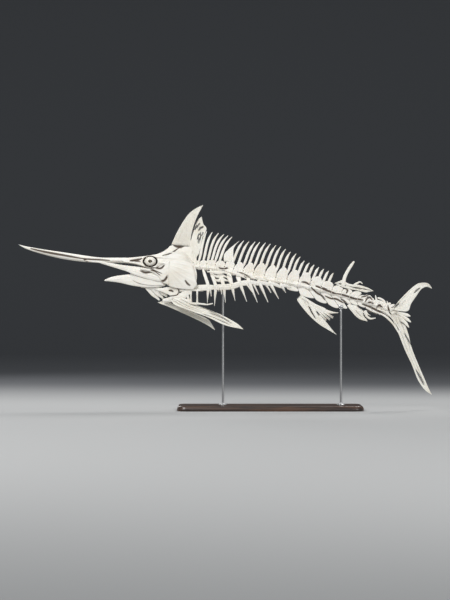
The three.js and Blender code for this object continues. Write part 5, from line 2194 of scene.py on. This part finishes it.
@dataclass
class Stand:
    """A flat wooden base and two steel rods."""

    shop: Workshop
    line: Backbone
    base_x: float = 360.0
    length: float = 1480.0
    width: float = 500.0
    thick: float = 40.0
    corner: float = 70.0
    rod_radius: float = 9.0
    foot: float = 34.0
    front_vertebra: int = 4
    fork_x: float = 928.0
    fork_length: float = 30.0
    fork_gap: float = 4.8
    grip: float = 26.0
    wall: float = 5.0
    clear: float = 0.3
    sides: int = 40
    # Heights and insets of the board's moulded edge.
    moulding: Line = (
        (0, 3), (3, 0), (20, 0), (22, 2), (25, 3), (33, 6), (37, 9), (39.4, 13), (40, 16), (40, 60), (40, 120)
    )

    def build(self) -> None:
        """Makes the base and the rods."""
        self.shop.place("stand_base", self.base(), Finish.DARK_WOOD)
        self.shop.place("stand_rod_front", self.front_rod(), Finish.STEEL)
        self.shop.place("stand_rod_rear", self.rear_rod("stand_rod_rear"), Finish.STEEL)

    def base(self) -> Shell:
        """The board, with round corners and a moulded upper edge.

        Returns:
            The shell.
        """
        rings = []
        for z, inset in self.moulding:
            corner = max(self.corner - inset, 4)
            ring = []
            for quarter in range(4):
                angle = np.linspace(quarter, quarter + 1, 14) * np.pi / 2 - np.pi / 2
                x = (1 if quarter in (0, 1) else -1) * (self.length / 2 - inset - corner)
                y = (-1 if quarter in (0, 3) else 1) * (self.width / 2 - inset - corner)
                ring += [(self.base_x + x + corner * np.cos(a), y + corner * np.sin(a), z) for a in angle]
            rings.append(ring)
        return skin(np.array(rings, float))

    def front_rod(self) -> Shell:
        """The front rod, with a cradle for the joint behind one of the vertebrae.

        Returns:
            The shell.
        """
        line = self.line
        at = line.starts[self.front_vertebra]
        joint, tangent = line.point(at)[0], line.tangent(np.array([at]))[0]
        radius = float(line.radius(at / line.length)) + 0.8
        up = np.array([-tangent[2], 0, tangent[0]])
        shaft = self.shaft(joint[0] - up[0] * radius, joint[2] - radius - 1.5)
        return pile(shaft, self.cradle(joint, tangent, up, radius))

    def rear_rod(self, node: str) -> Shell:
        """The rear rod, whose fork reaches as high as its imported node."""
        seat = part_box(node)[1][2] / MM - self.grip
        return pile(self.shaft(self.fork_x, seat - 4), self.fork(seat))

    def shaft(self, x: float, top: float) -> Shell:
        """The turned rod from the base up to a height.

        Args:
            x: its place.
            top: the height.

        Returns:
            The shell.
        """
        foot = self.thick + self.clear
        outline = ((self.foot - 1, 0), (self.foot, 1), (self.foot, 6), (self.foot - 1, 7), (self.rod_radius + 6, 9.5))
        outline += ((self.rod_radius + 2.5, 12), (self.rod_radius + 0.6, 15), (self.rod_radius, 18))
        sides = [(r, foot + z) for r, z in outline]
        sides += [(self.rod_radius, z) for z in np.linspace(foot + 30, top, 30)]
        turn = np.linspace(0, 2 * np.pi, self.sides, endpoint=False)
        rings = [np.stack([x + r * np.cos(turn), r * np.sin(turn), np.full(self.sides, z)], axis=1) for r, z in sides]
        return skin(np.array(rings))

    def cradle(self, joint: Points, tangent: Points, up: Points, radius: float) -> Shell:
        """The half ring that a vertebra's joint lies in.

        Args:
            joint: the joint's middle.
            tangent: the backbone's direction.
            up: the direction square to it.
            radius: the joint's radius.

        Returns:
            The shell.
        """
        rings = []
        for angle in np.linspace(np.pi, 2 * np.pi, self.sides):
            out = np.array([0, np.cos(angle), 0]) + up * np.sin(angle)
            corners = ((radius, -10), (radius + 1, -11), (radius + 5, -11), (radius + 6, -10))
            corners += ((radius + 6, 10), (radius + 5, 11), (radius + 1, 11), (radius, 10))
            rings.append([joint + out * r + tangent * s for r, s in corners])
        return skin(np.array(rings))

    def fork(self, seat: float) -> Shell:
        """The slotted block that clasps the lower edge of a plate.

        Args:
            seat: the height of its slot's floor.

        Returns:
            The shell.
        """
        inner, outer, half = self.fork_gap, self.fork_gap + self.wall, self.fork_length / 2
        blocks = [((-half, -outer, seat - 8), (half, outer, seat - self.clear))]
        blocks += [((-half, -outer, seat - 2), (half, -inner, seat + self.grip))]
        blocks += [((-half, inner, seat - 2), (half, outer, seat + self.grip))]
        return pile(*(self.block(np.array(low), np.array(high)) for low, high in blocks))

    def block(self, low: Array, high: Array) -> Shell:
        """A box with eased edges, between two corners that are given from the fork's middle.

        Args:
            low: the lower corner.
            high: the upper corner.

        Returns:
            The shell.
        """
        rings = []
        for z, inset in ((low[2], 1), (low[2] + 1, 0), (high[2] - 1, 0), (high[2], 1)):
            x0, x1 = self.fork_x + low[0] + inset, self.fork_x + high[0] - inset
            y0, y1 = low[1] + inset, high[1] - inset
            plan = (
                (x0 + 1, y0), (x1 - 1, y0), (x1, y0 + 1), (x1, y1 - 1), (x1 - 1, y1), (x0 + 1, y1), (x0, y1 - 1),
                (x0, y0 + 1)
            )
            rings.append([(x, y, z) for x, y in plan])
        return skin(np.array(rings, float))


# ---- The studio ----


@dataclass(frozen=True)
class Lamp:
    """A square soft lamp: its place, the point it faces, its watts and its size in metres."""

    name: str
    place: Row
    target: Row
    power: float
    size: float


@dataclass
class Studio:
    """A pale floor that sweeps up behind, soft lamps and the camera. Its sizes are in metres."""

    lamps: tuple[Lamp, ...] = (
        Lamp("key lamp", (-4.5, -7.0, 7.5), (-0.2, 0, 0.9), 620, 4.0),
        Lamp("fill lamp", (6.0, -10.0, 4.0), (0.0, 0, 0.9), 430, 3.4),
        Lamp("rim lamp", (2.5, 2.6, 5.5), (0, 0, 1.0), 200, 2.0),
        Lamp("back lamp", (-3.5, 6.5, 4.5), (0, 0, 0.9), 240, 3.0),
    )
    air: Row = (0.9, 0.95, 1.0, 1)
    air_strength: float = 0.38
    pale: Row = (0.37, 0.37, 0.366, 1)
    deep: Row = (0.08, 0.083, 0.089, 1)
    floor_reach: float = 30.0
    bend: float = 9.0
    back: float = 18.0
    rise: float = 22.0
    distance: float = 18.0
    height: float = 0.88
    lens: float = 135.0
    sight: float = 200.0

    def build(self) -> None:
        """Makes the floor, the lamps, the air and the camera."""
        self.floor()
        for lamp in self.lamps:
            self.hang(lamp)
        world = bpy.data.worlds.new("studio air")
        world.use_nodes = True
        background = world.node_tree.nodes["Background"]
        background.inputs["Color"].default_value = self.air
        background.inputs["Strength"].default_value = self.air_strength
        bpy.context.scene.world = world
        self.camera()

    def floor(self) -> None:
        """A seamless sheet: flat under the model, then curved up into a wall."""
        t = np.linspace(0, np.pi / 2, 24)
        y = np.r_[-self.floor_reach, -6, 0, self.back, self.back + self.bend * np.sin(t), self.back + self.bend]
        z = np.r_[0, 0, 0, 0, self.bend * (1 - np.cos(t)), self.rise]
        x = np.linspace(-self.floor_reach, self.floor_reach, 3)
        points = np.array([(a, b, c) for b, c in zip(y, z) for a in x])
        quads = [(i * 3 + j, i * 3 + j + 1, i * 3 + j + 4, i * 3 + j + 3) for i in range(len(y) - 1) for j in range(2)]
        mesh = bpy.data.meshes.new("floor")
        mesh.from_pydata(points.tolist(), [], quads)
        mesh.shade_smooth()
        material, graph, shader = new_material("floor paper")
        place = graph.add("ShaderNodeTexCoord").outputs["Object"]
        depth = graph.add("ShaderNodeSeparateXYZ", {0: place}).outputs[1]
        colour = graph.blend(graph.ramp(depth, 0.6, 6.2), self.pale, self.deep)
        graph.feed(shader, {"Base Color": colour, "Roughness": 0.85})
        mesh.materials.append(material)
        show("floor", mesh)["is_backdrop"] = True

    def hang(self, lamp: Lamp) -> None:
        """Hangs a lamp and turns it to its target.

        Args:
            lamp: the lamp.
        """
        data = bpy.data.lights.new(lamp.name, "AREA")
        data.energy, data.size = lamp.power, lamp.size
        light = show(lamp.name, data)
        self.aim(light, lamp.place, lamp.target)
        light.visible_camera = False
        light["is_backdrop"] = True

    @staticmethod
    def aim(obj: Object, place: Sequence[float], target: Sequence[float]) -> None:
        """Puts an object at a place and turns it to a target."""
        obj.location = place
        obj.rotation_euler = (Vector(target) - Vector(place)).to_track_quat("-Z", "Y").to_euler()

    def camera(self) -> None:
        """A long lens, level, square to the fish's left side."""
        scene = bpy.context.scene
        data = bpy.data.cameras.new("camera")
        data.lens, data.clip_end = self.lens, self.sight
        camera = show("camera", data)
        self.aim(camera, (0, -self.distance, self.height), (0, 0, self.height))
        scene.camera = camera
        scene.view_settings.view_transform = "Standard"


def write_size(before: tuple, after: tuple) -> None:
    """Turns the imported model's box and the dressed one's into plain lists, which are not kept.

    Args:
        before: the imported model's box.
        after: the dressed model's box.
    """
    rows = {name: [list(map(float, corner)) for corner in box] for name, box in (("cad", before), ("visual", after))}


def main() -> None:
    """Builds the model's looks piece by piece, then the studio."""
    logging.basicConfig(level=logging.INFO, format="%(message)s")
    shop, line = Workshop(), Backbone()
    parts = (Spine(shop, line), Head(shop), Shoulder(shop), MidlineFins(shop, line), TailFin(shop), Stand(shop, line))
    for part in parts:
        part.build()
        log.info("%s done", type(part).__name__)
    Studio().build()
    write_size(cad_box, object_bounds())


if __name__ == "__main__":
    main()
